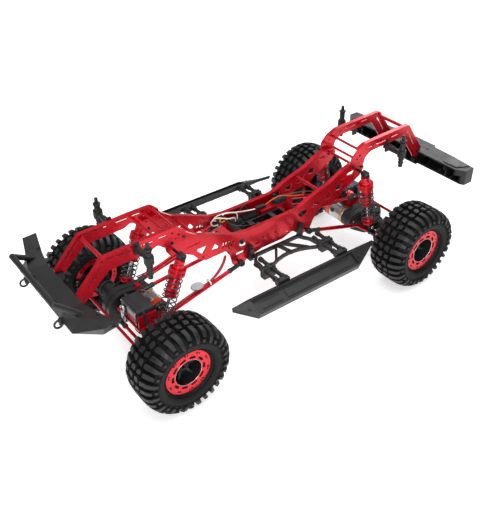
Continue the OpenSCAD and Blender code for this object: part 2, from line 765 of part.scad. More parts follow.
module knuckle(with_drag) {
    color(black) difference() {
        union() {
            cyl_z(axle_x, king_y, axle_z - 18, axle_z + 18, 14);
            cyl_y([axle_x, axle_z], king_y, king_y + 32, 13);
            translate([axle_x + 6, king_y - 5, axle_z - 2]) cube([36, 10, 6]);
            cyl_z(tie_x, king_y, axle_z - 2, axle_z + 4, 5);
            cyl_z(tie_x, king_y, axle_z + 3, tie_z + 4, 1.9);
            if (with_drag) cyl_z(drag_x, king_y, axle_z + 3, drag_z - 4, 1.9);
        }
        cyl_y([axle_x, axle_z], king_y - 20, king_y + 10, 9.4);
        cyl_y([axle_x, axle_z], king_y, king_y + 40, bearing_r + run_gap);
        for (s = [1, -1]) translate([axle_x, king_y, axle_z + s * 16]) cylinder(h = 13, r = pin_r, center = true);
        for (s = [1, -1]) translate([axle_x, king_y - 15, axle_z]) cube([20, 20, 19], center = true);
    }
}

// ---- wheels ----

tread_half = [[39.4, 22], [39.4, 28], [44, 28], [46, 33], [50, 38.5], [58, 41.3], [71, 41.5], [79, 39.5], [83.4, 34], [85, 25]];
liner_half = [[78, 24], [75, 32], [68, 35.5], [58, 35], [51, 31], [46, 22]];

module tyre() {
    k = tyre_d / 170;
    w = tyre_w / 83;
    outer = [for (p = tread_half) [p.x < 46 ? p.x : p.x * k, p.y * w]];
    inner = [for (p = liner_half) [p.x, p.y]];
    half = concat(outer, [for (i = [len(outer) - 1:-1:0]) [outer[i].x, -outer[i].y]]);
    hollow = concat([for (i = [len(inner) - 1:-1:0]) [inner[i].x, -inner[i].y]], inner);
    color(black) rotate([90, 0, 0]) rotate_extrude($fn = 96) polygon(concat(half, hollow));
}

module rim() {
    barrel = [
        [6, 4], [12, 4], [12, 6], [35.5, 4], [35.5, 22], [31, 25], [31, 28], [39.2, 28], [39.2, 21], [37.8, 20],
        [37.8, -20], [39.2, -21], [39.2, -28], [35.5, -28], [35.5, 0], [12, -2], [12, -6], [6, -6]
    ];
    color(black) rotate([90, 0, 0]) mirror([0, 0, 1]) rotate_extrude($fn = 64) polygon(barrel);
    color(silver) {
        cyl_y([0, 0], king_y + 11 - wheel_y, 14, bearing_r);
        difference() {
            cyl_y([0, 0], 6.1, 12, 8.5);
            cyl_y([0, 0], 5, 15, bearing_r);
        }
        difference() {
            cyl_y([0, 0], -6, 4, 6);
            cyl_y([0, 0], -8, 6, bearing_r);
        }
    }
}

module bead_rings() {
    color(red) {
        difference() {
            cyl_y([0, 0], 28.1, 31, ring_d / 2);
            cyl_y([0, 0], 27, 32, 26);
            for (i = [0:ring_holes - 1]) rotate([0, 360 * i / ring_holes, 0]) {
                plate(rounded([[27.6, -5.6, 1.6], [32.4, -6.4, 1.6], [32.8, 0, 0], [32.4, 6.4, 1.6],
                    [27.6, 5.6, 1.6], [28.2, 0, 0]], 3), 27, 32);
                rotate([0, 180 / ring_holes, 0]) cyl_y([38.5, 0], 27, 32, 1.5);
            }
        }
        difference() {
            cyl_y([0, 0], -31, -28.1, ring_d / 2);
            cyl_y([0, 0], -32, -27, 33);
            for (i = [0:ring_holes - 1]) rotate([0, 360 * (i + 0.5) / ring_holes, 0]) cyl_y([38.5, 0], -32, -27, 1.5);
        }
    }
}

main_rail();  // main_rail_left
mirror([0, 1, 0]) main_rail();  // main_rail_right
front_rails();
rear_rails();
cross_tubes();
floor_tray();
battery_tray();
electronics();
front_bumper();
rear_bumper();
body_posts();
slider_brackets();
sliders();
frame_screws();
wiring();
link_leads();
at_front() lower_links(front_pivots);  // front_lower_links
at_front() upper_links(front_pivots);  // front_upper_links
at_front() shock_bodies(front_pivots);  // front_shock_bodies
at_front() shock_rods(front_pivots);  // front_shock_rods
at_front() springs(front_pivots);  // front_springs
at_front() axle_housing();  // front_axle_housing
at_front() servo_mount();  // front_servo_mount
at_front() motor();  // front_motor
at_front() servo();  // front_servo
at_front() drive_gear();  // front_drive_gear
at_front() motor_pinion();  // front_motor_pinion
at_front() servo_horn();  // front_servo_horn
at_front() drag_link();  // front_drag_link
at_front() tie_rod();  // front_tie_rod
at_front() knuckle(true);  // front_knuckle_left
at_front() mirror([0, 1, 0]) knuckle(false);  // front_knuckle_right
at_front() at_wheel(1) tyre();  // front_tyre_left
at_front() at_wheel(-1) tyre();  // front_tyre_right
at_front() at_wheel(1) rim();  // front_rim_left
at_front() at_wheel(-1) rim();  // front_rim_right
at_front() at_wheel(1) bead_rings();  // front_bead_rings_left
at_front() at_wheel(-1) bead_rings();  // front_bead_rings_right
at_rear() lower_links(rear_pivots);  // rear_lower_links
at_rear() upper_links(rear_pivots);  // rear_upper_links
at_rear() shock_bodies(rear_pivots);  // rear_shock_bodies
at_rear() shock_rods(rear_pivots);  // rear_shock_rods
at_rear() springs(rear_pivots);  // rear_springs
at_rear() axle_housing();  // rear_axle_housing
at_rear() servo_mount();  // rear_servo_mount
at_rear() motor();  // rear_motor
at_rear() servo();  // rear_servo
at_rear() drive_gear();  // rear_drive_gear
at_rear() motor_pinion();  // rear_motor_pinion
at_rear() servo_horn();  // rear_servo_horn
at_rear() drag_link();  // rear_drag_link
at_rear() tie_rod();  // rear_tie_rod
at_rear() mirror([0, 1, 0]) knuckle(false);  // rear_knuckle_left
at_rear() knuckle(true);  // rear_knuckle_right
at_rear() at_wheel(-1) tyre();  // rear_tyre_left
at_rear() at_wheel(1) tyre();  // rear_tyre_right
at_rear() at_wheel(-1) rim();  // rear_rim_left
at_rear() at_wheel(1) rim();  // rear_rim_right
at_rear() at_wheel(-1) bead_rings();  // rear_bead_rings_left
at_rear() at_wheel(1) bead_rings();  // rear_bead_rings_right
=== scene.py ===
"""Visual model of the four wheel crawler chassis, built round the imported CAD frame.

Lengths are in millimetres until a mesh is made. The pieces of an axle are drawn as the front axle and
turned half way round for the rear one, as in part.scad.
"""
import json
import math
from types import SimpleNamespace

import bmesh
import bpy
from mathutils import Matrix, Vector


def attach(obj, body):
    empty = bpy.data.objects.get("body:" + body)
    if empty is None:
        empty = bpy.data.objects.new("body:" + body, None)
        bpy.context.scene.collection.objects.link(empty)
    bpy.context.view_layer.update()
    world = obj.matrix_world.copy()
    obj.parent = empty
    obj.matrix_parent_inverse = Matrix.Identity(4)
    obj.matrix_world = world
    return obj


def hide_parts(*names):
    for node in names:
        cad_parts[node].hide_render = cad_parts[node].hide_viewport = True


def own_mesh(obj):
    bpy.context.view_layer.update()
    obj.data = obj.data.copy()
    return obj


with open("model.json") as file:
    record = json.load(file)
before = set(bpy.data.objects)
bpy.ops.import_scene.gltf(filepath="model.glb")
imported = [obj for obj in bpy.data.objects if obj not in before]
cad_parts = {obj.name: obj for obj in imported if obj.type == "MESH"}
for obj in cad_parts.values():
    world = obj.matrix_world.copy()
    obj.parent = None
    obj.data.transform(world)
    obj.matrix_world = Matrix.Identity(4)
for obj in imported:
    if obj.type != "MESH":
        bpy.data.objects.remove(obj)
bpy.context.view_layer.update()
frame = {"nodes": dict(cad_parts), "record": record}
NODES = frame["nodes"]

MM = 0.001

# Middle of the front axle, its kingpins and wheels, and the pivots on it as (x, z).
AXLE_X, AXLE_Z = 280, 85
KING_Y = 120
WHEEL_Y = 160
LOWER_END = (264, 70)
UPPER_END = (258, 133)
SHOCK_END = (252, 92)
SHOCK_Y = 66

# The motor's shaft, this far from the axle's and this steeply above it.
MOTOR_REACH, MOTOR_TILT = 42, math.radians(12)
MOTOR = (AXLE_X - MOTOR_REACH * math.cos(MOTOR_TILT), AXLE_Z + MOTOR_REACH * math.sin(MOTOR_TILT))

# Outer radii of the axle gear and the motor pinion, and the gap and wall of the case round them.
GEAR_R, PINION_R, CASE_WALL = 31.2, 16.2, 2.8

# The servo's shaft, and the lines of the drag link and the tie rod.
HORN_Y, HORN_Z = 25, 123
DRAG_X, DRAG_Z = 312, 99
TIE_X, TIE_Z = 322, 95

# Chassis pivots of each axle, and the bend in its lower links, as (x, z).
ENDS = {
    "front": SimpleNamespace(lower=(70, 132), upper=(60, 168), shock=(204, 214), kink=(230, 96),
                             turn=Matrix.Identity(4)),
    "rear": SimpleNamespace(lower=(95, 136), upper=(83, 172), shock=(226, 222), kink=(228, 96),
                            turn=Matrix.Rotation(math.pi, 4, "Z")),
}
SIDES = {1: "left", -1: "right"}


def side_of(end, sign):
    """The chassis side that local +Y (sign 1) or -Y (sign -1) of an axle is on."""
    return SIDES[sign if end == "front" else -sign]


# ---- materials ----

class Nodes:
    """Short calls for building one material's node tree."""

    def __init__(self, name):
        self.mat = bpy.data.materials.new(name)
        self.mat.use_nodes = True
        self.tree = self.mat.node_tree
        self.shader = self.tree.nodes["Principled BSDF"]

    def add(self, kind, **values):
        node = self.tree.nodes.new(kind)
        for key, value in values.items():
            if hasattr(node, key):
                setattr(node, key, value)
            else:
                node.inputs[key.replace("_", " ")].default_value = value
        return node

    def link(self, out, into):
        self.tree.links.new(out, into)

    def noise(self, scale, detail=4, stretch=(1, 1, 1)):
        """Noise value at that scale per metre, in object space."""
        where = self.add("ShaderNodeTexCoord")
        mapping = self.add("ShaderNodeMapping")
        mapping.inputs["Scale"].default_value = stretch
        noise = self.add("ShaderNodeTexNoise", Scale=scale, Detail=detail)
        self.link(where.outputs["Object"], mapping.inputs["Vector"])
        self.link(mapping.outputs["Vector"], noise.inputs["Vector"])
        return noise.outputs["Fac"]

    def ramp(self, value, low, high):
        """Colours from low to high over the middle of a noise value's range."""
        ramp = self.add("ShaderNodeValToRGB")
        first, last = ramp.color_ramp.elements
        first.position, first.color = 0.35, (*low, 1)
        last.position, last.color = 0.65, (*high, 1)
        self.link(value, ramp.inputs["Fac"])
        return ramp.outputs["Color"]

    def span(self, value, low, high):
        """Numbers from low to high over the middle of a noise value's range."""
        node = self.add("ShaderNodeMapRange", From_Min=0.3, From_Max=0.7, To_Min=low, To_Max=high)
        self.link(value, node.inputs["Value"])
        return node.outputs["Result"]

    def edge(self, radius):
        """1 near an outside edge and 0 on flat faces."""
        bevel = self.add("ShaderNodeBevel", samples=4)
        bevel.inputs["Radius"].default_value = radius
        geometry = self.add("ShaderNodeNewGeometry")
        dot = self.add("ShaderNodeVectorMath", operation="DOT_PRODUCT")
        self.link(bevel.outputs["Normal"], dot.inputs[0])
        self.link(geometry.outputs["Normal"], dot.inputs[1])
        less = self.add("ShaderNodeMapRange", From_Min=0.999, From_Max=0.9)
        self.link(dot.outputs["Value"], less.inputs["Value"])
        return less.outputs["Result"]

    def bump(self, value, strength, distance, soft_edge=0.0):
        bump = self.add("ShaderNodeBump", Strength=strength, Distance=distance)
        self.link(value, bump.inputs["Height"])
        if soft_edge:
            bevel = self.add("ShaderNodeBevel", samples=4)
            bevel.inputs["Radius"].default_value = soft_edge
            self.link(bevel.outputs["Normal"], bump.inputs["Normal"])
        self.link(bump.outputs["Normal"], self.shader.inputs["Normal"])


def rgb(code):
    """Linear colour of an sRGB code such as "c8102e"."""
    parts = [int(code[i:i + 2], 16) / 255 for i in (0, 2, 4)]
    return tuple(p / 12.92 if p <= 0.04045 else ((p + 0.055) / 1.055) ** 2.4 for p in parts)


def finish(name, low, high, rough, metallic=0.0, grain=900, grain_depth=0.00002, patch=30, wear_and_highlight=None,
           soft_edge=0.0, coat=0.0, stretch=(1, 1, 1), specular=0.5):
    """A surface whose colour drifts between low and high, with fine grain and, if an edge colour is given,
    patches of it on outside edges: worn edges on the dark materials and a painted highlight on bright steel.
    """
    n = Nodes(name)
    n.shader.inputs["Metallic"].default_value = metallic
    n.shader.inputs["Coat Weight"].default_value = coat
    n.shader.inputs["Specular IOR Level"].default_value = specular
    colour = n.ramp(n.noise(patch), rgb(low), rgb(high))
    if wear_and_highlight:
        # Patches of the edge colour near outside edges: lighter worn edges on the dark materials, a painted
        # highlight on bright steel.
        mix = n.add("ShaderNodeMix", data_type="RGBA")
        wear_and_highlight_mask = n.add("ShaderNodeMath", operation="MULTIPLY")
        n.link(n.edge(0.0007), wear_and_highlight_mask.inputs[0])
        n.link(n.span(n.noise(140), 0.1, 0.75), wear_and_highlight_mask.inputs[1])
        n.link(wear_and_highlight_mask.outputs[0], mix.inputs["Factor"])
        n.link(colour, mix.inputs["A"])
        mix.inputs["B"].default_value = (*rgb(wear_and_highlight), 1)
        colour = mix.outputs["Result"]
    n.link(colour, n.shader.inputs["Base Color"])
    n.link(n.span(n.noise(patch * 4, 6, stretch), *rough), n.shader.inputs["Roughness"])
    n.bump(n.noise(grain, 3, stretch), 0.6, grain_depth, soft_edge)
    return n.mat


RED = finish("red_anodised", "be0e21", "ca1227", (0.25, 0.34), 0.62, 1600, 0.000005, 14, None, 0.0006, 0.15)
RED_ROD = finish("red_anodised_turned", "b00c20", "c81428", (0.2, 0.32), 0.8, 1200, 0.000006, 40,
                 coat=0.1, stretch=(12, 12, 1))
BLACK = finish("black_moulded_plastic", "0c0d0f", "131416", (0.42, 0.55), 0, 1500, 0.00002, 35, None, 0.0006)
STEP = finish("black_step_plastic", "0b0c0e", "121315", (0.36, 0.5), 0, 1300, 0.00002, 28, None, 0.0006)
ROD_END = finish("black_rod_end", "0f1011", "18191b", (0.38, 0.5), 0, 1800, 0.00001, 60, "2c2d30")
TYRE = finish("tyre_rubber", "0c0c0d", "131315", (0.44, 0.58), 0, 700, 0.00004, 45, specular=0.42)
# The carcass rubber is darker and duller than the tread blocks' rubber: painted shade, so that the grooves
# between the blocks look shaded.
SHADED_CARCASS_RUBBER = finish("tyre_carcass_painted_shade", "040404", "070708", (0.6, 0.72), 0, 700, 0.00003, 45,
                        specular=0.25)
# The near-white edge colour of bright steel is a painted highlight on its edges.
STEEL = finish("bright_steel", "a9acb0", "c6c8cb", (0.18, 0.3), 1, 1500, 0.000004, 60, "f2f3f4", 0.0003)
SCREW = finish("black_oxide_screw", "1b1c1e", "2c2e31", (0.3, 0.42), 0.9, 1500, 0.000005, 80, "8a8c90")
GUN = finish("spring_steel", "3a3c40", "54565b", (0.24, 0.36), 0.95, 1500, 0.000005, 80)
CAN = finish("motor_can", "9d9fa2", "bcbec0", (0.24, 0.36), 1, 900, 0.000006, 40, soft_edge=0.0004,
             stretch=(1, 30, 30))
GOLD = finish("gold_anodised", "a87a2c", "c89a3e", (0.24, 0.34), 0.95, 1200, 0.000005, 60)
ORANGE = finish("orange_band", "c23a10", "d8481a", (0.3, 0.42), 0.3, 1200, 0.000005, 60)
CASE = finish("servo_case", "1f2124", "292b2f", (0.34, 0.46), 0.1, 1600, 0.00001, 40, "4a4c50", 0.0004)
LABEL_RED = finish("red_label", "a01020", "b81428", (0.26, 0.34), 0.1, 800, 0.000003, 40)
LABEL_GREY = finish("grey_label", "8e9094", "a2a4a8", (0.3, 0.4), 0.4, 800, 0.000003, 40)
LENS = finish("smoked_lens", "0c0d0f", "15171a", (0.06, 0.12), 0, 300, 0.000002, 30, coat=0.6)
WIRES = {
    colour: finish(f"{colour}_wire", low, high, (rough, rough + 0.1), 0, 900, 0.000004, 60)
    for colour, low, high, rough in (
        ("white", "d5d2ca", "e4e1da", 0.4), ("black", "121214", "1a1a1c", 0.4),
        ("red", "94101c", "ae1424", 0.38), ("orange", "c0501a", "d4601e", 0.38),
        ("brown", "4a2a1c", "5c3524", 0.4), ("yellow", "c09a24", "d4ac30", 0.4))
}


# ---- mesh building ----

# Angles between faces from which an edge is drawn sharp, and from which it is bevelled.
SHARP = math.radians(35)
BEVELLED = math.radians(32)


def unit(v):
    return Vector(v).normalized()


def circle(count, start=0.0):
    """(cosine, sine) at count even steps round a circle, begun start steps on."""
    angles = [math.tau * (k + start) / count for k in range(count)]
    return [(math.cos(a), math.sin(a)) for a in angles]


def oval(wide, tall, count):
    """Outline of an ellipse with these half sizes."""
    return [(wide * c, tall * s) for c, s in circle(count)]


def chamfered(a0, b0, a1, b1, cut):
    """Outline of a rectangle with its corners cut."""
    return [(a0 + cut, b0), (a1 - cut, b0), (a1, b0 + cut), (a1, b1 - cut),
            (a1 - cut, b1), (a0 + cut, b1), (a0, b1 - cut), (a0, b0 + cut)]


def across(d):
    """A direction at right angles to d."""
    return d.cross(Vector((0, 0, 1)) if abs(d.z) < 0.9 else Vector((0, 1, 0))).normalized()


class Shape:
    """One piece's mesh. Faces take the material that is current when they are made."""

    def __init__(self, material):
        self.bm = bmesh.new()
        self.materials = [material]
        self.current = 0
        self.at = Matrix.Identity(4)

    def copy(self):
        """The same mesh again, for another piece."""
        other = Shape(self.materials[0])
        other.bm.free()
        other.bm, other.materials = self.bm.copy(), self.materials
        return other

    def use(self, material):
        if material not in self.materials:
            self.materials.append(material)
        self.current = self.materials.index(material)
        return self

    def place(self, origin, axis=(0, 0, 1)):
        """What follows is drawn with its Z along axis and its origin there."""
        turn = unit(axis).to_track_quat("Z", "Y").to_matrix().to_4x4()
        self.at = Matrix.Translation(origin) @ turn
        return self

    def home(self):
        self.at = Matrix.Identity(4)
        return self

    def loft(self, loops, ring=False):
        """Skin through loops of equal point count, joined up for a ring and else with end faces."""
        rows = [[self.bm.verts.new(self.at @ Vector(p)) for p in loop] for loop in loops]
        count = len(rows[0])
        pairs = list(zip(rows, rows[1:])) + ([(rows[-1], rows[0])] if ring else [])
        for a, b in pairs:
            for i in range(count):
                j = (i + 1) % count
                self.face([a[i], a[j], b[j], b[i]])
        if not ring:
            self.face(rows[0][::-1])
            self.face(rows[-1])
        return self

    def face(self, verts):
        face = self.bm.faces.new(verts)
        face.material_index = self.current

    def lathe(self, profile, steps=48, closed=False):
        """Profile of (radius, height) turned round Z. Open profiles are capped; closed ones are rings."""
        loops = [[(r * c, r * s, h) for r, h in profile] for c, s in circle(steps)]
        if closed:
            return self.loft(loops, ring=True)
        rows = [[self.bm.verts.new(self.at @ Vector(p)) for p in loop] for loop in loops]
        for k in range(steps):
            a, b = rows[k], rows[(k + 1) % steps]
            for i in range(len(profile) - 1):
                self.face([a[i], b[i], b[i + 1], a[i + 1]])
        self.face([row[0] for row in rows][::-1])
        self.face([row[-1] for row in rows])
        return self

    def rod(self, p, q, radius, steps=16, end_radius=None):
        p, q = Vector(p), Vector(q)
        self.place(p, q - p)
        self.lathe([(radius, 0), (radius if end_radius is None else end_radius, (q - p).length)], steps)
        return self.home()

    def prism(self, outline, low, high, plane="xy"):
        """Outline pulled from low to high across that plane."""
        put = {
            "xy": lambda a, b, c: (a, b, c),
            "xz": lambda a, b, c: (a, c, b),
            "yz": lambda a, b, c: (c, a, b),
        }[plane]
        return self.loft([[put(a, b, c) for a, b in outline] for c in (low, high)])

    def block(self, low, high, chamfer=0.0):
        """A box, with its upright edges cut by chamfer."""
        (x0, y0, z0), (x1, y1, z1) = low, high
        if not chamfer:
            return self.prism([(x0, y0), (x1, y0), (x1, y1), (x0, y1)], z0, z1)
        return self.prism(chamfered(x0, y0, x1, y1, chamfer), z0, z1)

    def tube(self, path, radius, steps=8):
        """Round tube along a smooth path of points."""
        points = [Vector(p) for p in path]
        frames, side = [], None
        for i, p in enumerate(points):
            d = unit(points[min(i + 1, len(points) - 1)] - points[max(i - 1, 0)])
            side = across(d) if side is None else unit(side - d * side.dot(d))
            frames.append((p, side, d.cross(side)))
        return self.loft([[p + radius * (u * c + w * s) for c, s in circle(steps)] for p, u, w in frames])

    def screw(self, origin, axis, radius=2.4, height=1.6):
        """Button head screw with a hexagon socket."""
        self.place(origin, axis)
        rim = [(radius, 0), (radius, height * 0.35), (radius * 0.86, height * 0.8), (radius * 0.6, height)]
        points = circle(12)
        loops = [[(r * c, r * s, h) for c, s in points] for r, h in rim]
        # Radius of the hexagon at each point, over that at its corners.
        hexagon = [math.cos(math.pi / 6) / math.cos((math.tau * k / 12) % (math.pi / 3) - math.pi / 6)
                   for k in range(12)]
        socket = radius * 0.4
        for h in (height, height * 0.4):
            loops.append([(socket * g * c, socket * g * s, h) for g, (c, s) in zip(hexagon, points)])
        self.loft(loops)
        return self.home()

    def piece(self, name, body, slot, turn=None, bevel=0.0, mirror=False, replaces=()):
        """Makes the object, in metres, rides it on its body and lets it stand for CAD nodes.

        mirror adds the same shape on the other side of the chassis.
        """
        matrix = (turn or Matrix.Identity(4)) @ Matrix.Scale(MM, 4)
        if mirror:
            both = self.bm.verts[:] + self.bm.edges[:] + self.bm.faces[:]
            copy = bmesh.ops.duplicate(self.bm, geom=both)["geom"]
            for v in copy:
                if isinstance(v, bmesh.types.BMVert):
                    v.co.y = -v.co.y
        bmesh.ops.recalc_face_normals(self.bm, faces=self.bm.faces)
        self.bm.transform(matrix)
        mesh = bpy.data.meshes.new(name)
        self.bm.to_mesh(mesh)
        self.bm.free()
        for material in self.materials:
            mesh.materials.append(material)
        mesh.shade_smooth()
        mesh.set_sharp_from_angle(angle=SHARP)
        obj = bpy.data.objects.new(name, mesh)
        bpy.context.scene.collection.objects.link(obj)
        if bevel:
            cut = obj.modifiers.new("edges", "BEVEL")
            cut.width, cut.segments, cut.limit_method = bevel * MM, 2, "ANGLE"
            cut.angle_limit = BEVELLED
            cut.harden_normals = True
        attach(obj, body)
        if replaces:
            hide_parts(*replaces)
        return obj


def smooth(points, step=4):
    """Points on a Catmull-Rom curve through points, about step apart."""
    pts = [Vector(p) for p in points]
    pts = [2 * pts[0] - pts[1], *pts, 2 * pts[-1] - pts[-2]]
    out = []
    for a, b, c, d in zip(pts, pts[1:], pts[2:], pts[3:]):
        n = max(2, round((c - b).length / step))
        for k in range(n):
            t = k / n
            out.append(0.5 * (2 * b + (c - a) * t + (2 * a - 5 * b + 4 * c - d) * t * t
                              + (3 * b - a - 3 * c + d) * t ** 3))
    return out + [pts[-2]]


def arc(cx, cy, r, start, end, steps):
    return [(cx + r * math.cos(math.radians(start + (end - start) * k / steps)),
             cy + r * math.sin(math.radians(start + (end - start) * k / steps))) for k in range(steps + 1)]


# ---- tyres and wheels ----

# Carcass from the middle of the tread to the bead as (radius, distance from the middle).
CARCASS = [(75.6, 0), (75.4, 10), (75, 20), (74, 27.5), (71.8, 33), (68.4, 36.6), (64.6, 38.6),
           (59, 39.6), (52, 38.4), (48.5, 35.6), (46, 31.8), (44, 28.6), (39.8, 28.2)]
# The tread repeats this many times round the tyre.
PITCHES = 16
TYRE_STEPS = 152


def carcass_at(s):
    """(radius, offset, slope direction) at arc length s from the middle of the tread."""
    sign = -1 if s < 0 else 1
    left = abs(s)
    for (r0, y0), (r1, y1) in zip(CARCASS, CARCASS[1:]):
        length = math.hypot(r1 - r0, y1 - y0)
        if left <= length:
            t = left / length
            slope = (y1 - y0) / length, -(r1 - r0) / length * sign
            return r0 + (r1 - r0) * t, sign * (y0 + (y1 - y0) * t), slope
        left -= length
    raise ValueError("past the bead")


def lug(shape, rows, turn, sink=2.5):
    """One tread block: rows of (arc length, start, end, height), where start and end are in pitches."""
    loops = []
    for s, start, end, height in rows:
        r, y, (nr, ny) = carcass_at(s)
        loop = []
        for at, h in ((start - 0.03, -sink), (start, height - 0.5), (start + 0.02, height),
                      (end - 0.02, height), (end, height - 0.5), (end + 0.03, -sink)):
            a = math.tau * (turn + at) / PITCHES
            rr = r + nr * h
            loop.append((rr * math.cos(a), rr * math.sin(a), y + ny * h))
        loops.append(loop)
    shape.loft(loops)


# The blocks of one pitch and one half of the tread: rows of (arc length, start, end, height).
LUGS = [
    [(0.8, 0.08, 0.3, 8.6), (1, 0.06, 0.33, 9.4), (6, 0.02, 0.35, 9.4), (11, 0.12, 0.36, 9.4),
     (11.2, 0.15, 0.33, 8.6)],
    [(4.4, 0.62, 0.82, 8.6), (4.6, 0.6, 0.84, 9.4), (9, 0.55, 0.83, 9.4), (14, 0.54, 0.76, 9.4),
     (14.2, 0.56, 0.73, 8.6)],
    [(15.6, 0.1, 0.32, 8.6), (15.8, 0.08, 0.34, 9.4), (21, 0.04, 0.31, 9.3), (28, 0.01, 0.27, 8.8),
     (34, 0, 0.25, 7.6), (39, 0.01, 0.23, 5.4), (43.6, 0.02, 0.21, 3.8), (43.8, 0.03, 0.2, 2)],
    [(19, 0.56, 0.78, 8.6), (19.2, 0.54, 0.8, 9.4), (24, 0.51, 0.77, 9.1), (30, 0.49, 0.74, 8.6),
     (36, 0.5, 0.72, 7), (36.2, 0.52, 0.7, 5)],
    [(38.6, 0.54, 0.72, 3.4), (38.8, 0.52, 0.74, 4.2), (43, 0.54, 0.72, 3.2), (43.2, 0.56, 0.7, 2)],
]


def tyre_shape():
    """A tyre with +Z outboard, its tread in staggered blocks and forked shoulder lugs."""
    # The carcass, and so the grooves between the blocks, is drawn in the darker rubber as painted shade; the
    # blocks use the tyre rubber.
    shape = Shape(SHADED_CARCASS_RUBBER)
    outer = CARCASS[::-1] + [(r, -y) for r, y in CARCASS[1:]]
    inner = [(46, 24), (52, 33), (60, 36), (70, 34), (75, 27)]
    inner = [(r, -y) for r, y in inner] + inner[::-1]
    shape.lathe(outer + inner, TYRE_STEPS, closed=True)
    for sign in (1, -1):
        for low, high, rise in ((60.6, 62.2, 39.4), (47.8, 49.2, 36.2)):
            rim = [(low, rise - 1.6), (low + 0.4, rise + 0.9), (high - 0.4, rise + 0.8), (high, rise - 1.6)]
            shape.lathe([(r, sign * y) for r, y in rim], TYRE_STEPS, closed=True)
    shape.use(TYRE)
    for i in range(PITCHES):
        for sign in (1, -1):
            turn = i + (0.5 if sign < 0 else 0)
            for rows in LUGS:
                lug(shape, [(sign * s, a, b, h) for s, a, b, h in rows], turn)
    return shape


def wheel_trim():
    """Screws, lips, spokes and the wheel nut of one wheel, with +Z outboard."""
    shape = Shape(SCREW)
    for c, s in circle(10, 0.5):
        for face in (1, -1):
            shape.screw((38.5 * c, 38.5 * s, 31 * face), (0, 0, face), 1.9, 1.2)
    shape.use(STEEL)
    shape.lathe([(25.3, 27.2), (25.3, 30.8), (25.6, 31.2), (25.9, 31), (25.9, 27.2)], 64, closed=True)
    shape.use(BLACK)
    shape.lathe([(24.9, 5.5), (25.4, 28), (30, 28.2), (34, 24), (34.4, 5.5)], 64, closed=True)
    for i in range(6):
        shape.at = Matrix.Rotation(math.tau * i / 6, 4, "Z")
        shape.loft([[(11, -4, 6), (11, 4, 6), (11, 3, 11), (11, -3, 11)],
                    [(25.2, -3, 5.8), (25.2, 3, 5.8), (25.2, 2, 15), (25.2, -2, 15)]])
    shape.home()
    shape.lathe([(8.7, 8), (8.7, 12.6), (9.4, 13.2), (13, 12.4), (13, 8)], 40, closed=True)
    shape.use(SCREW)
    shape.place((0, 0, 12)).prism(arc(0, 0, 6.4, 0, 300, 5), 0, 4)
    shape.home()
    shape.lathe([(2.5, 15.8), (2.5, 19.2), (1.9, 19.9), (1, 20)], 20)
    return shape


def wheels():
    shapes = {"tyre": tyre_shape(), "wheel_trim": wheel_trim()}
    for end, spec in ENDS.items():
        for sign in (1, -1):
            side = side_of(end, sign)
            hub = Matrix.Translation((AXLE_X * MM, sign * WHEEL_Y * MM, AXLE_Z * MM))
            # Both sides have the same shapes, turned so that their outboard face is outboard.
            out = Matrix.Rotation(-sign * math.pi / 2, 4, "X")
            roll = Matrix.Rotation(math.radians(7 if sign > 0 else 23), 4, "Z")
            turn = spec.turn @ hub @ out @ roll
            body = f"{end}_wheel_{side}_body"
            for kind, slot, bevel, nodes in (("tyre", "tyre", 0, (f"{end}_tyre_{side}",)),
                                             ("wheel_trim", "bright_metal", 0.25, ())):
                name = f"{end}_{kind}_{side}_detail"
                shapes[kind].copy().piece(name, body, slot, turn, bevel, replaces=nodes)


# ---- shocks and links ----

def ring_eye(shape, p, y, radius=6.2, width=10, bore=2.6):
    """Rod end: an eye round the Y axis at p with a bright ball in it."""
    shape.use(ROD_END).place((p[0], y - width / 2, p[1]), (0, 1, 0))
    shape.lathe([(bore + 1.6, 0), (radius - 0.6, 0), (radius, 0.6), (radius, width - 0.6),
                 (radius - 0.6, width), (bore + 1.6, width)], 32, closed=True)
    shape.use(STEEL)
    shape.lathe([(bore, -0.6), (bore + 1, -0.6), (bore + 1.7, width * 0.3), (bore + 1.7, width * 0.7),
                 (bore + 1, width + 0.6), (bore, width + 0.6)], 24, closed=True)
    shape.home()


def link_rod(shape, p, q, radius=3.5, sleeve=22, ends=(True, True)):
    """Red turned rod from p to q, with a black socket at each of the ends that meets a rod end."""
    p, q = Vector(p), Vector(q)
    length, axis = (q - p).length, unit(q - p)
    start = 4 if ends[0] else 0
    stop = length - (4 if ends[1] else 0)
    shape.use(RED_ROD).place(p, axis)
    neck = radius - 0.4
    shape.lathe([(neck, start + 6), (radius, start + 9), (radius, stop - 9), (neck, stop - 6)], 20)
    socket = [(3.2, 0), (4.2, 2), (4.2, sleeve - 6), (4.9, sleeve - 5), (4.9, sleeve - 1), (4.4, sleeve)]
    for on, base, sign in ((ends[0], start, 1), (ends[1], stop, -1)):
        if on:
            shape.use(ROD_END).lathe([(r, base + sign * h) for r, h in socket], 12)
    shape.home()


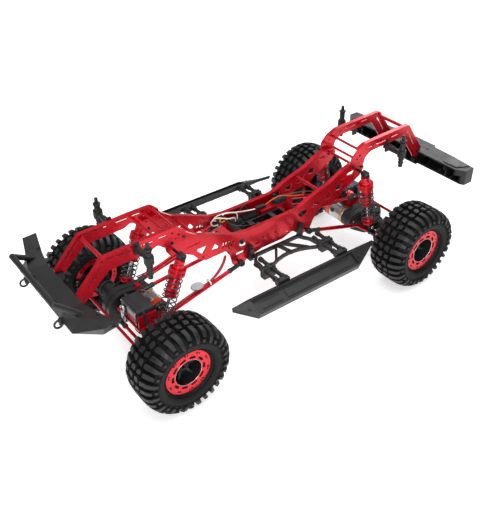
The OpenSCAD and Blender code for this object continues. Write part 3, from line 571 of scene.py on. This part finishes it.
def links():
    for end, spec in ENDS.items():
        shape = Shape(RED_ROD)
        base = Vector((spec.lower[0], 54, spec.lower[1]))
        kink = Vector((spec.kink[0], 56, spec.kink[1]))
        tip = Vector((LOWER_END[0], 72, LOWER_END[1]))
        link_rod(shape, base, kink, 4, 26, (True, False))
        bend = [kink + unit(base - kink) * 14, kink, kink + unit(tip - kink) * 14]
        shape.use(RED_ROD).tube(smooth(bend, 2), 4, 20)
        link_rod(shape, kink, tip, 4, 16, (False, True))
        ring_eye(shape, spec.lower, 54, 6.4, 9)
        ring_eye(shape, LOWER_END, 72, 6.4, 8)
        shape.piece(f"{end}_lower_links_detail", f"{end}_links_body", "red_metal",
                    spec.turn, mirror=True, replaces=(f"{end}_lower_links",))
        shape = Shape(RED_ROD)
        link_rod(shape, (UPPER_END[0], 12, UPPER_END[1]), (spec.upper[0], 33, spec.upper[1]), 3.6, 20)
        ring_eye(shape, UPPER_END, 12, 6, 8, 2.9)
        ring_eye(shape, spec.upper, 33, 6, 8)
        shape.piece(f"{end}_upper_links_detail", f"{end}_upper_body", "red_metal",
                    spec.turn, mirror=True, replaces=(f"{end}_upper_links",))


BODY_PROFILE = [(5, 5.6), (8.2, 6), (9, 7), (9, 12), (8.2, 12.6), (8.2, 13.4), (9, 14), (9, 19), (9.6, 20)]


def flutes(radius, depth, count):
    """Outline of a round collar with notches round it."""
    out = []
    for k in range(count):
        for t, r in ((0, radius), (0.55, radius), (0.65, radius - depth), (0.9, radius - depth)):
            a = math.tau * (k + t) / count
            out.append((r * math.cos(a), r * math.sin(a)))
    return out


def shocks():
    for end, spec in ENDS.items():
        top = Vector((spec.shock[0], SHOCK_Y, spec.shock[1]))
        low = Vector((SHOCK_END[0], SHOCK_Y, SHOCK_END[1]))
        axis, length = unit(low - top), (low - top).length

        shape = Shape(RED).place(top, axis)
        shape.lathe(BODY_PROFILE, 40)
        shape.lathe([(9.4, 18.6), (10.4, 19.2), (10.4, 21.6), (9.9, 22)], 48)
        shape.prism(flutes(15.2, 1.2, 20), 22, 27)
        shape.prism(flutes(15.2, 1.2, 20), 29, 34)
        shape.lathe([(13.2, 26.8), (13.2, 29.2)], 48)
        shape.lathe([(14.4, 33.6), (14.4, 35.4), (12.2, 36)], 48)
        threads = [(10.5 if k % 2 else 10, 36 + 1.1 * k) for k in range(22)]
        shape.lathe([(9.8, 35), *threads, (10.5, 60.5), (10.5, 70)], 48)
        shape.prism(flutes(10.9, 0.7, 24), 70, 75)
        shape.lathe([(10.2, 74.6), (10.2, 77), (8.6, 78), (4, 78)], 40)
        shape.home()
        ring_eye(shape, (top.x, top.z), SHOCK_Y, 7, 12)
        shape.piece(f"{end}_shock_bodies_detail", f"{end}_shock_body", "red_metal",
                    spec.turn, mirror=True, replaces=(f"{end}_shock_bodies",))

        shape = Shape(STEEL).place(top, axis)
        shape.lathe([(3, 64), (3, length - 10)], 24)
        shape.use(RED)
        seat = length - 14
        shape.lathe([(3.2, seat - 5), (8, seat - 4.6), (9.2, seat - 3), (9.2, seat), (14.2, seat),
                     (14.2, seat + 2.6), (9, seat + 3), (6, seat + 5), (3.2, seat + 5)], 48)
        shape.use(ROD_END).lathe([(4.2, seat + 2), (4.6, seat + 4), (4.6, length - 5)], 20)
        shape.home()
        ring_eye(shape, SHOCK_END, SHOCK_Y, 6.4, 10, 3.2)
        shape.piece(f"{end}_shock_shafts_detail", f"{end}_shaft_body", "bright_metal",
                    spec.turn, mirror=True, replaces=(f"{end}_shock_rods",))

        turns, first, last = 8.5, 37.2, length - 15.2
        steps = round(turns * 22)
        coil = []
        for k in range(steps + 1):
            t = k / steps
            # The end coils lie nearly flat, as on a ground spring.
            rise = t + 0.055 * (math.sin(math.tau * 2 * (t - 0.5)) if abs(t - 0.5) > 0.42 else 0)
            a = math.tau * turns * t
            coil.append((13.2 * math.cos(a), 13.2 * math.sin(a), first + (last - first) * rise))
        for sign in (1, -1):
            start = Vector((top.x, sign * SHOCK_Y, top.z))
            shape = Shape(GUN).place(start, axis).tube(coil, 1.15, 8)
            names = (f"{end}_springs",) if sign > 0 else ()
            obj = shape.piece(f"{end}_spring_{side_of(end, sign)}_detail", f"{end}_shock_body", "dark_metal",
                              spec.turn, replaces=names)
            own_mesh(obj)


# ---- axle ----

def case_screws(shape, centre, radius, count, start, size):
    """Screws in a ring round centre, on the outer face of the gear case."""
    for c, s in circle(count, start):
        shape.screw((centre[0] + radius * c, -45, centre[1] + radius * s), (0, -1, 0), size, 1.4)


def case_outline(grow):
    """Belt outline round the axle gear and the motor pinion."""
    dx, dz = MOTOR[0] - AXLE_X, MOTOR[1] - AXLE_Z
    far, near = GEAR_R + CASE_WALL + grow, PINION_R + CASE_WALL + grow
    phi = math.degrees(math.atan2(dz, dx))
    beta = math.degrees(math.acos((far - near) / math.hypot(dx, dz)))
    return (arc(AXLE_X, AXLE_Z, far, phi + beta, phi + 360 - beta, 36)
            + arc(MOTOR[0], MOTOR[1], near, phi - beta, phi + beta, 18))


def axle_trim(end, spec):
    """Ribs, covers, screws and bushes on the axle housing."""
    shape = Shape(BLACK)
    for y0, y1, grow in ((-45, -41.6, -3), (-46.6, -44.8, -9), (-30.2, -27.8, 1)):
        shape.prism(case_outline(grow), y0, y1, "xz")
    for y0, y1, r in ((-60, -42, 17), (-16, -4, 17), (-4, 2, 15), (40, 52, 15.2),
                      (86, 92, 16.5), (-92, -86, 16.5), (-68, -60, 15)):
        shape.place((AXLE_X, y0, AXLE_Z), (0, 1, 0))
        shape.lathe([(r - 1.2, 0), (r, 1.2), (r, y1 - y0 - 1.2), (r - 1.2, y1 - y0)], 40)
        shape.home()
    # Ribs from the hub out over the cover.
    for k in range(6):
        a = math.tau * k / 6 + 0.35
        dx, dz = math.cos(a), math.sin(a)
        shape.loft([[(AXLE_X + r * dx + w * dz, at, AXLE_Z + r * dz - w * dx)
                     for w, at in ((-1.1, y), (1.1, y), (1.1, -42), (-1.1, -42))]
                    for r, y in ((14, -57), (29, -45.5))])
    shape.use(STEEL)
    case_screws(shape, (AXLE_X, AXLE_Z), 27.5, 6, 0.1, 2.2)
    case_screws(shape, MOTOR, 12, 3, 0.3, 2)
    for sign in (1, -1):
        for z, facing in ((110.5, 1), (59.5, -1)):
            shape.use(SCREW).screw((AXLE_X, sign * KING_Y, z), (0, 0, facing), 4, 2.4)
        for x, z in ((273, 66), (287, 66), (273, 104), (287, 104)):
            shape.screw((x, sign * 92, z), (0, -sign, 0), 1.8, 1.2)
        shape.use(STEEL)
        for face in (-1, 1):
            y = sign * (SHOCK_Y + 11 * face)
            shape.screw((SHOCK_END[0], y, SHOCK_END[1]), (0, sign * face, 0), 3.6, 2.2)
        shape.screw((LOWER_END[0], sign * 79.2, LOWER_END[1]), (0, sign, 0), 3.6, 2.2)
    shape.piece(f"{end}_axle_trim", f"{end}_axle", "black_plastic", spec.turn, bevel=0.3)


def knuckle_trim(end, spec, sign):
    side = side_of(end, sign)
    shape = Shape(BLACK)
    for z0, z1, r in ((66.8, 69, 12.6), (101, 103.3, 12.6)):
        shape.place((AXLE_X, sign * KING_Y, z0))
        shape.lathe([(r - 1, 0), (r, 0.8), (r, z1 - z0 - 0.8), (r - 1, z1 - z0)], 36)
    shape.home()
    shape.prism([(291, sign * 115), (320, sign * 116.5), (320, sign * 123.5), (291, sign * 126)], 88.6, 90.4)
    shape.use(STEEL)
    shape.place((AXLE_X, sign * 131, AXLE_Z), (0, sign, 0))
    shape.lathe([(5.6, 20.6), (9.4, 20.6), (10, 21.2), (9.4, 21.8), (5.6, 21.8)], 36, closed=True)
    shape.home()
    shape.place((TIE_X, sign * KING_Y, 98.4))
    shape.lathe([(1.9, 0), (1.9, 1.4), (3.2, 1.5), (3.4, 2.2), (3, 3.6), (1, 4)], 6)
    shape.home()
    shape.piece(f"{end}_knuckle_trim_{side}", f"{end}_knuckle_{side}_body", "black_plastic",
                spec.turn, bevel=0.3)


def motor_piece(end, spec):
    shape = Shape(CAN).place((MOTOR[0], 0, MOTOR[1]), (0, 1, 0))
    shape.lathe([(5, -13.8), (16.8, -13.8), (17.6, -13), (17.6, -10.4)], 56)
    shape.use(GOLD).lathe([(17.4, -10.6), (18.1, -10.2), (18.1, -6.4), (17.6, -6)], 56)
    shape.use(CAN).lathe([(17.2, -6.4), (17.8, -5.8), (17.8, 22), (17.2, 22.6)], 56)
    shape.use(ORANGE).lathe([(17.3, 22.4), (18.05, 22.8), (18.05, 33.4), (17.3, 34)], 56)
    shape.use(BLACK)
    shape.lathe([(17, 33.8), (17.6, 34.6), (17.6, 38), (16, 41.6), (9, 42.6), (8.6, 44), (5, 44.2)], 56)
    shape.use(STEEL).lathe([(4.6, 43.6), (4.6, 47.4), (4, 48), (1.6, 48)], 24)
    shape.use(BLACK)
    for k in range(3):
        a = math.tau * k / 3 + 0.4
        shape.loft([[(x * math.cos(a) - y * math.sin(a), x * math.sin(a) + y * math.cos(a), z)
                     for x, y in ((15.2, -4.5), (18.2, -4), (18.2, 4), (15.2, 4.5))] for z in (9, 19)])
    shape.home()
    for s in (-1, 1):
        x = MOTOR[0] + s * 9
        shape.use(GOLD).block((x - 2, 40, MOTOR[1] - 0.6), (x + 2, 49, MOTOR[1] + 0.6))
    shape.piece(f"{end}_motor_detail", f"{end}_axle", "bright_metal",
                spec.turn, bevel=0.2, replaces=(f"{end}_motor",))


def servo_piece(end, spec):
    shape = Shape(CASE)
    for x0, x1, grow in ((266, 273.6, 0), (273.6, 274.4, -0.5), (274.4, 289.6, 0), (289.6, 290.4, -0.5),
                         (290.4, 298.4, 0), (298.4, 301, -1.2)):
        shape.prism(chamfered(12 - grow, 107 - grow, 66 + grow, 138 + grow, 2.2), x0, x1, "yz")
    for y0, y1 in ((5.5, 12), (66, 71)):
        shape.block((285.6, y0, 109), (289.6, y1, 136))
    shape.use(LABEL_RED).block((300.7, 34, 112), (301.25, 62, 121))
    shape.use(LABEL_GREY).block((300.7, 34, 121), (301.25, 62, 132))
    shape.use(GOLD).place((300, HORN_Y, HORN_Z), (1, 0, 0))
    shape.lathe([(4.6, 0), (4.6, 2.6), (4, 3.2), (3.6, 3.2)], 28)
    shape.home()
    for y, z in ((15, 110.5), (63, 110.5), (15, 134.5), (63, 134.5)):
        shape.use(STEEL).screw((300.6, y, z), (1, 0, 0), 1.7, 1)
    for z in (115, 130):
        for y in (9, 68.6):
            shape.use(SCREW).screw((289.6, y, z), (1, 0, 0), 2.2, 1.4)
    shape.piece(f"{end}_servo_detail", f"{end}_axle", "dark_plastic",
                spec.turn, bevel=0.35, replaces=(f"{end}_servo",))


def horn_piece(end, spec):
    shape = Shape(STEEL)
    shape.place((302.8, HORN_Y, HORN_Z), (1, 0, 0))
    shape.lathe([(2.6, -8), (7, 0.4), (7.4, 1), (7.4, 3.6), (6.8, 4.2)], 36)
    shape.home()
    hub, tip = arc(HORN_Y, HORN_Z, 7, 160, 20, 14), arc(HORN_Y, DRAG_Z, 4.8, -20, -160, 12)
    shape.prism(hub + tip, 304, 306.8, "yz")
    shape.use(SCREW)
    shape.screw((306.8, HORN_Y, HORN_Z), (1, 0, 0), 3, 1.8)
    for z in (113.6, 107):
        shape.place((306.2, HORN_Y, z), (1, 0, 0)).lathe([(1.7, 0), (1.7, 0.7)], 20)
    shape.home()
    shape.use(STEEL).rod((306, HORN_Y, DRAG_Z), (317.6, HORN_Y, DRAG_Z), 1.9)
    shape.use(SCREW).place((316.4, HORN_Y, DRAG_Z), (1, 0, 0)).prism(arc(0, 0, 3.4, 0, 300, 5), 0, 2.4)
    shape.home()
    shape.piece(f"{end}_servo_horn_detail", f"{end}_horn_body", "bright_metal",
                spec.turn, bevel=0.25, replaces=(f"{end}_servo_horn",))


def steering_rods(end, spec):
    shape = Shape(RED_ROD)
    link_rod(shape, (DRAG_X, HORN_Y, DRAG_Z), (DRAG_X, KING_Y, DRAG_Z), 2.9, 16)
    shape.use(ROD_END).place((DRAG_X - 3.6, HORN_Y, DRAG_Z), (1, 0, 0))
    shape.lathe([(2, 0), (5, 0), (5.4, 0.6), (5.4, 6.6), (5, 7.2), (2, 7.2)], 28, closed=True)
    shape.place((DRAG_X, KING_Y, DRAG_Z - 0.2))
    shape.lathe([(2.4, 0), (4.4, 0), (4.8, 0.6), (4.8, 4.4), (4.2, 5), (2.4, 5)], 28, closed=True)
    shape.use(STEEL).lathe([(0.6, 0.4), (2.6, 0.6), (2.6, 4.2), (1.8, 4.8)], 20)
    shape.home()
    shape.piece(f"{end}_drag_link_detail", f"{end}_drag_body", "red_metal",
                spec.turn, replaces=(f"{end}_drag_link",))
    shape = Shape(RED_ROD)
    link_rod(shape, (TIE_X, -KING_Y, TIE_Z), (TIE_X, KING_Y, TIE_Z), 2.9, 20)
    for sign in (1, -1):
        shape.use(ROD_END).place((TIE_X, sign * KING_Y, TIE_Z - 3.5))
        shape.lathe([(2.1, 0), (4.8, 0), (5.2, 0.6), (5.2, 6.4), (4.8, 7), (2.1, 7)], 28, closed=True)
        shape.home()
    shape.piece(f"{end}_tie_rod_detail", f"{end}_tie_body", "red_metal",
                spec.turn, replaces=(f"{end}_tie_rod",))


def axles():
    for end, spec in ENDS.items():
        axle_trim(end, spec)
        for sign in (1, -1):
            knuckle_trim(end, spec, sign)
        motor_piece(end, spec)
        servo_piece(end, spec)
        horn_piece(end, spec)
        steering_rods(end, spec)


# ---- camera, light and floor ----

def camera():
    data = bpy.data.cameras.new("camera")
    data.lens, data.sensor_width = 50.29, 36
    data.clip_start, data.clip_end = 0.01, 100
    cam = bpy.data.objects.new("camera", data)
    bpy.context.scene.collection.objects.link(cam)
    place, target = Vector((0.70897, 0.92270, 0.93306)), Vector((0.2124, 0.2483, 0.3171))
    roll = Matrix.Rotation(math.radians(-0.75), 3, "Z")
    turn = (target - place).to_track_quat("-Z", "Y").to_matrix() @ roll
    cam.matrix_world = Matrix.Translation(place) @ turn.to_4x4()
    bpy.context.scene.camera = cam


def softbox(name, place, target, size, power):
    """Square area light at place that faces target."""
    data = bpy.data.lights.new(name, "AREA")
    data.shape, data.size, data.energy = "SQUARE", size, power
    lamp = bpy.data.objects.new(name, data)
    lamp.location = place
    lamp.rotation_euler = (Vector(target) - Vector(place)).to_track_quat("-Z", "Y").to_euler()
    bpy.context.scene.collection.objects.link(lamp)


def studio():
    world = bpy.data.worlds.new("studio")
    world.use_nodes = True
    tree = world.node_tree
    tree.nodes["Background"].inputs["Color"].default_value = (1, 1, 1, 1)
    where = tree.nodes.new("ShaderNodeTexCoord")
    split = tree.nodes.new("ShaderNodeSeparateXYZ")
    fade = tree.nodes.new("ShaderNodeMapRange")
    for name, value in (("From Min", -0.1), ("From Max", 1), ("To Min", 0.22), ("To Max", 0.42)):
        fade.inputs[name].default_value = value
    tree.links.new(where.outputs["Generated"], split.inputs["Vector"])
    tree.links.new(split.outputs["Z"], fade.inputs["Value"])
    tree.links.new(fade.outputs["Result"], tree.nodes["Background"].inputs["Strength"])
    bpy.context.scene.world = world
    bpy.context.scene.view_settings.view_transform = "Standard"
    softbox("top_light", (0.1, 0.1, 2.0), (0, 0, 0), 2.2, 36)
    softbox("key_light", (1.4, 1.9, 1.2), (0, 0, 0.15), 1.0, 36)
    softbox("rim_light", (-1.6, -0.8, 1.3), (0, 0, 0.2), 0.8, 12)
    n = Nodes("floor_paint")
    n.shader.inputs["Roughness"].default_value = 0.8
    n.shader.inputs["Emission Color"].default_value = (1, 1, 1, 1)
    n.shader.inputs["Emission Strength"].default_value = 0.42
    n.link(n.ramp(n.noise(0.8), (0.93, 0.93, 0.93), (0.95, 0.95, 0.95)), n.shader.inputs["Base Color"])
    mesh = bpy.data.meshes.new("floor")
    half, level = 30, -0.0004
    corners = [(-half, -half, level), (half, -half, level), (half, half, level), (-half, half, level)]
    mesh.from_pydata(corners, [], [(0, 1, 2, 3)])
    mesh.materials.append(n.mat)
    floor = bpy.data.objects.new("floor", mesh)
    bpy.context.scene.collection.objects.link(floor)


# ---- materials of the CAD nodes that show ----

SLOT_MATERIALS = {
    "red_metal": RED, "black_plastic": BLACK, "dark_plastic": CASE, "bright_metal": STEEL, "dark_metal": GUN,
    "tyre": TYRE, "wire_white": WIRES["white"], "wire_red": WIRES["red"],
}


def paint_nodes():
    for part in frame["record"]["subparts"]:
        node = NODES[part["node"]]
        node.data.materials.clear()
        node.data.materials.append(SLOT_MATERIALS[part["material_slot"]])


# ---- frame pieces ----

def frame_bolts():
    shape = Shape(SCREW)
    for sign in (1, -1):
        out = (0, sign, 0)
        for x, z in ((184, 234), (208, 231), (-214, 232), (-236, 226)):
            shape.screw((x, sign * 45, z), out, 2.9, 2)
            shape.rod((x, sign * 38, z), (x, sign * 45, z), 1.45)
        for x, z in ((88, 167), (90, 158), (145, 172), (151, 168), (10, 158), (-20, 158)):
            shape.screw((x, sign * 42.5, z), out, 2, 1.2)
        for x, z in ((206, 250), (194, 243), (379, 196), (338, 250),
                     (-229, 253), (-222, 247), (-391, 214), (-398, 206)):
            shape.screw((x, sign * 45, z), out, 2, 1.2)
        for front, spec in ((1, ENDS["front"]), (-1, ENDS["rear"])):
            for (x, z), inner, outer in ((spec.lower, 38, 59), (spec.upper, 28, 43), (spec.shock, 38, 73.6)):
                shape.rod((front * x, sign * inner, z), (front * x, sign * outer, z), 2.4)
                shape.screw((front * x, sign * outer, z), out, 4, 2.4)
    shape.piece("frame_bolts", "chassis", "bright_metal", replaces=("frame_screws",))


def front_bumper_trim():
    shape = Shape(STEP)
    for sign in (1, -1):
        # The lamp lies on the face that leans back over the end of the bumper.
        along, up, out = ((-0.766, 0.642, 0), (-0.249, -0.297, 0.922), (0.592, 0.707, 0.388))

        def on_face(a, b, c):
            x, y, z = (p + a * q + b * r + c * t for p, q, r, t in zip((427, 99, 185), along, up, out))
            return x, sign * y, z

        def ring(size, depth):
            return [on_face(12 + a, 9 + b, depth) for a, b in oval(size * 6.8, size * 4.8, 28)]

        shape.use(STEP).loft([ring(1, -0.6), ring(1, 1.2), ring(0.84, 1.2), ring(0.8, 0.4)])
        shape.use(LENS).loft([ring(0.82, 0.2), ring(0.76, 0.9), ring(0.4, 1.4)])
        shape.use(ROD_END)
        for b, count in ((3, 5), (9, 3)):
            for k in range(count):
                a = 20.6 + 3.7 * k
                slat = (a, b), (a + 2.2, b), (a + 1, b + 4), (a - 1.2, b + 4)
                shape.loft([[on_face(*p, depth) for p in slat] for depth in (-0.6, 0.35)])
        shape.use(STEP)
        shape.screw((384, sign * 110, 211.6), (0, 0, 1), 2.4, 1.4)
        shape.rod((440, sign * 40, 230), (424, sign * 44, 206), 4.2, end_radius=5.2)
        shape.use(SCREW).place((434, sign * 66, 185), (0, 1, 0))
        shape.lathe([(7 + 1.7 * c, 1.7 * s) for c, s in circle(8)], 32, closed=True)
        shape.home()
        shape.rod((427, sign * 60, 187), (427, sign * 72, 187), 2.6, 12)
    shape.piece("front_bumper_trim", "chassis", "black_plastic", bevel=0.25)


def rear_bumper_trim():
    shape = Shape(STEP)
    for sign in (1, -1):
        for y in (70, 104, 136):
            rib = [(-434, 181), (-404, 181), (-404, 184), (-420, 192), (-434, 206)]
            shape.prism(rib, sign * y - 1.2, sign * y + 1.2, "xz")
        pad = [(-436, 112), (-404, 112), (-404, 146), (-430, 158)]
        shape.prism([(x, sign * y) for x, y in pad], 209.8, 211.6)
        shape.use(SCREW)
        for y in (56, 128):
            shape.screw((-420, sign * y, 209.9), (0, 0, 1), 2.4, 1.4)
        shape.use(STEP)
    shape.piece("rear_bumper_trim", "chassis", "black_plastic", bevel=0.3)


def step_section(x, deep):
    """Section of a side step at x: a ledge, a tray sunk by deep and a lip, over a hollow underside."""
    outline = [(156, 142), (162.4, 142.8), (163.4, 142.4 - deep), (186.6, 131.6 - deep), (187.4, 131.8),
               (190, 130.6), (186, 118.4), (184, 118.8), (183, 125.4), (163, 133.6), (156, 134)]
    return [(x, y, z) for y, z in outline]


def side_steps():
    for sign, side in SIDES.items():
        shape = Shape(STEP)

        def point(x):
            return [(x, 156 + (y - 156) * 0.05, 137 + (z - 134) * 0.35) for _, y, z in step_section(x, 0)]

        loops = [point(166), step_section(131, 0), step_section(130.6, 4.4), step_section(-102.6, 4.4),
                 step_section(-103, 0), point(-166)]
        shape.loft([[(x, sign * y, z) for x, y, z in loop] for loop in loops])

        # Plain raised panel and long ribs in the tray.
        def tray(y):
            return 138 - (y - 163.4) * 10.8 / 23.2

        ribs = [(x0, x1, y, y + 1.2, 0.9) for y in (168, 180) for x0, x1 in ((-92, -46), (74, 118))]
        for x0, x1, y0, y1, rise in [(-34, 62, 168, 182, 1.2), (-98, 126, 164.6, 165.8, 1.4),
                                     (-98, 126, 184, 185, 1.2), *ribs]:
            section = (y0, -0.6), (y1, -0.6), (y1, rise), (y0, rise)
            shape.loft([[(x, sign * y, tray(y) + h) for y, h in section] for x in (x0, x1)])
        for x, lean in ((141, 0.11), (-113, -0.11)):
            shape.use(ROD_END).screw((x, sign * 174, 137.2), (lean, sign * 0.42, 0.9), 2.6, 1)
        shape.piece(f"side_step_{side}", "chassis", "black_plastic",
                    bevel=0.35, replaces=("sliders",) if sign > 0 else ())


def bracket_trim():
    shape = Shape(BLACK)
    for sign in (1, -1):
        for x, plate in ((51, 44), (-88, -77)):
            for d in (-8, 8):
                for y0, y1, r in ((79 + d / 2, 86 + d / 2, 5), (100, 104.2, 5.6), (115.8, 120, 5.6),
                                  (138, 146.2, 5.4)):
                    shape.rod((x + d, sign * y0, 142), (x + d, sign * y1, 142), r, 20)
            for y in (106, 113):
                shape.block((x - 14, sign * y - 2, 131), (x + 14, sign * y + 2, 149.2), 0.8)
            shape.use(SCREW)
            for d in (-8, 8):
                shape.screw((x + d, sign * 150, 146.9), (0, 0, 1), 2.8, 1.6)
            shape.screw((x, sign * 110, 148), (0, 0, 1), 2.4, 1.6)
            for z in (130, 152):
                shape.screw((plate, sign * 52.8, z), (0, sign, 0), 2.4, 1.5)
            shape.use(BLACK)
    shape.piece("bracket_trim", "chassis", "black_plastic", bevel=0.3)


# Where the front and the rear body posts stand, and the height of their tops.
POSTS = ((276, 282), (-303, 290))


def post_trim():
    shape = Shape(BLACK)
    for sign in (1, -1):
        for x, top in POSTS:
            shape.place((x, sign * 86, top - 68))
            shape.lathe([(3, 0), (4.4, 0.6), (5.5, 50), (4.6, 52.2)], 28)
            for z in range(8, 43, 7):
                shape.lathe([(5.4, z), (5.9, z + 0.6), (5.9, z + 1.6), (5.4, z + 2.2)], 28)
            shape.lathe([(6.2, 54.2), (6.9, 55), (6.9, 57.4), (6.2, 58.2)], 28)
            shape.lathe([(2.8, 67), (3.2, 66.4), (3.2, 58)], 24)
            shape.place((x, sign * 86, 243)).prism(flutes(8.6, 1.6, 6), 0, 15)
            shape.place((x, sign * 58, 251), (0, 1, 0)).lathe([(5.2, -9), (6, -8), (6, 8), (5.2, 9)], 28)
            shape.home()
            shape.use(SCREW)
            for z in (258.5, 243.5):
                shape.screw((x, sign * 49.2, z), (0, sign, 0), 2.2, 1.4)
            shape.use(BLACK)
    shape.piece("post_trim", "chassis", "black_plastic", bevel=0.2)


def electronics_piece():
    shape = Shape(CASE)
    shape.block((-24, -36, 148.2), (10, -14, 161), 1.4)
    for k in range(8):
        shape.block((-22.5 + 4 * k, -35, 160.8), (-20.9 + 4 * k, -15, 168))
    shape.block((14, -37, 148.2), (36, -13, 168), 1.6)
    shape.block((15, -36, 167.8), (35, -14, 171.6), 1.2)
    shape.block((-94, -26, 174.2), (-64, -12, 183), 1.4)
    shape.use(ROD_END).block((-43, -25, 174), (-23, -17, 180), 1)
    shape.use(LABEL_RED).block((18, -32, 171.4), (32, -26, 171.9))
    shape.use(ROD_END).place((-98, 4, 148.2)).lathe([(5, 0), (6, 1), (6, 14), (5, 17.6), (2, 17.8)], 28)
    shape.home()
    for x in (-40, 10):
        strap = smooth([(x, -8.6, 152), (x, -8.8, 166), (x, -4, 170), (x, 14, 170.8), (x, 32, 170),
                        (x, 36.8, 166), (x, 36.6, 152)], 3)
        section = (-5, 0), (5, 0), (5, 0.9), (-5, 0.9)
        shape.loft([[(x + dx, p.y, p.z + dz) for dx, dz in section] for p in strap])
    shape.piece("electronics_detail", "chassis", "black_plastic", bevel=0.25, replaces=("electronics",))


# Each frame wire's colour, radius and route.
ROUTES = [
    ("white", 1.2, [(24, -20, 171.5), (26, -18, 186), (42, -14, 197), (70, -18, 199),
                    (83, -21, 187), (76, -25, 175), (62, -27, 171)]),
    ("white", 1.3, [(66, -12, 200), (50, -20, 196), (24, -25, 185), (0, -24, 179.5), (-22, -21, 177)]),
    ("orange", 1.2, [(-44, -21, 177), (-60, -18, 185), (-80, -17, 187),
                     (-100, -13, 182), (-120, -10, 177), (-136, -8, 174)]),
    ("brown", 1.2, [(-92, -20, 182.6), (-106, -8, 188), (-128, 0, 188), (-150, 6, 182), (-166, 8, 174)]),
    ("black", 1.3, [(18, -30, 171.5), (14, -26, 184), (2, -28, 190), (-6, -26, 178), (-8, -24, 165)]),
    ("white", 1.1, [(30, -16, 171.5), (40, -6, 188), (60, 0, 198),
                    (78, -8, 202), (82, -18, 194), (70, -24, 184)]),
    ("yellow", 1.1, [(32, -28, 171), (44, -24, 178), (58, -22, 178), (66, -18, 186), (64, -12, 196)]),
    ("black", 1.3, [(34, -30, 171), (46, -30, 180), (54, -18, 184),
                    (50, 0, 180), (30, 12, 176), (0, 16, 172)]),
]


def wires():
    for k, (colour, radius, path) in enumerate(ROUTES):
        shape = Shape(WIRES[colour])
        shape.tube(smooth(path, 3), radius, 10)
        shape.use(ROD_END)
        for p in (path[0], path[-1]):
            shape.place(p)
            wide = radius + 1.2
            shape.lathe([(radius + 0.3, -2.4), (wide, -2), (wide, 1.2), (radius + 0.2, 2)], 12)
            shape.home()
        shape.piece(f"frame_wire_{k + 1}", "chassis", "wire_white", replaces=("wiring",) if k == 0 else ())


# Route of the motor leads along the left front lower link.
LEAD = [(230, 60, 103.5), (214, 57, 106.5), (190, 55.5, 112), (164, 54.8, 117.5),
        (140, 54, 123), (122, 52, 132), (108, 50, 146), (102, 48.5, 158)]


def motor_leads():
    shape = Shape(WIRES["red"])
    for sign in (1, -1):
        for dy, dz in ((-2.2, 0.2), (0, 1.8), (2.2, 0.2)):
            spread = [(x - dz, sign * (y + dy * (0.6 if 130 < x < 200 else 1)), z + dz) for x, y, z in LEAD]
            shape.tube(smooth(spread, 3), 1.1, 10)
        shape.use(WIRES["white"]).place((143, sign * 54, 122), (1, 0, -0.23))
        shape.lathe([(6, -1.3), (6.6, -1.3), (6.6, 1.3), (6, 1.3)], 28, closed=True)
        shape.home()
        shape.use(WIRES["red"])
    shape.use(LABEL_GREY).place((172, 60, 130), (0.1, 0.6, 0.9))
    shape.prism(oval(12, 7, 32), -0.9, 0.9)
    shape.use(ROD_END).prism(oval(12.8, 7.8, 32), -1.4, -0.9)
    shape.home()
    shape.rod((172, 58, 128), (166, 55.4, 119), 1, 10)
    shape.piece("motor_leads", "front_links_body", "wire_red", replaces=("link_leads",))


def frame_pieces():
    frame_bolts()
    front_bumper_trim()
    rear_bumper_trim()
    side_steps()
    bracket_trim()
    post_trim()
    electronics_piece()
    wires()
    motor_leads()


camera()
studio()
paint_nodes()
wheels()
links()
shocks()
axles()
frame_pieces()
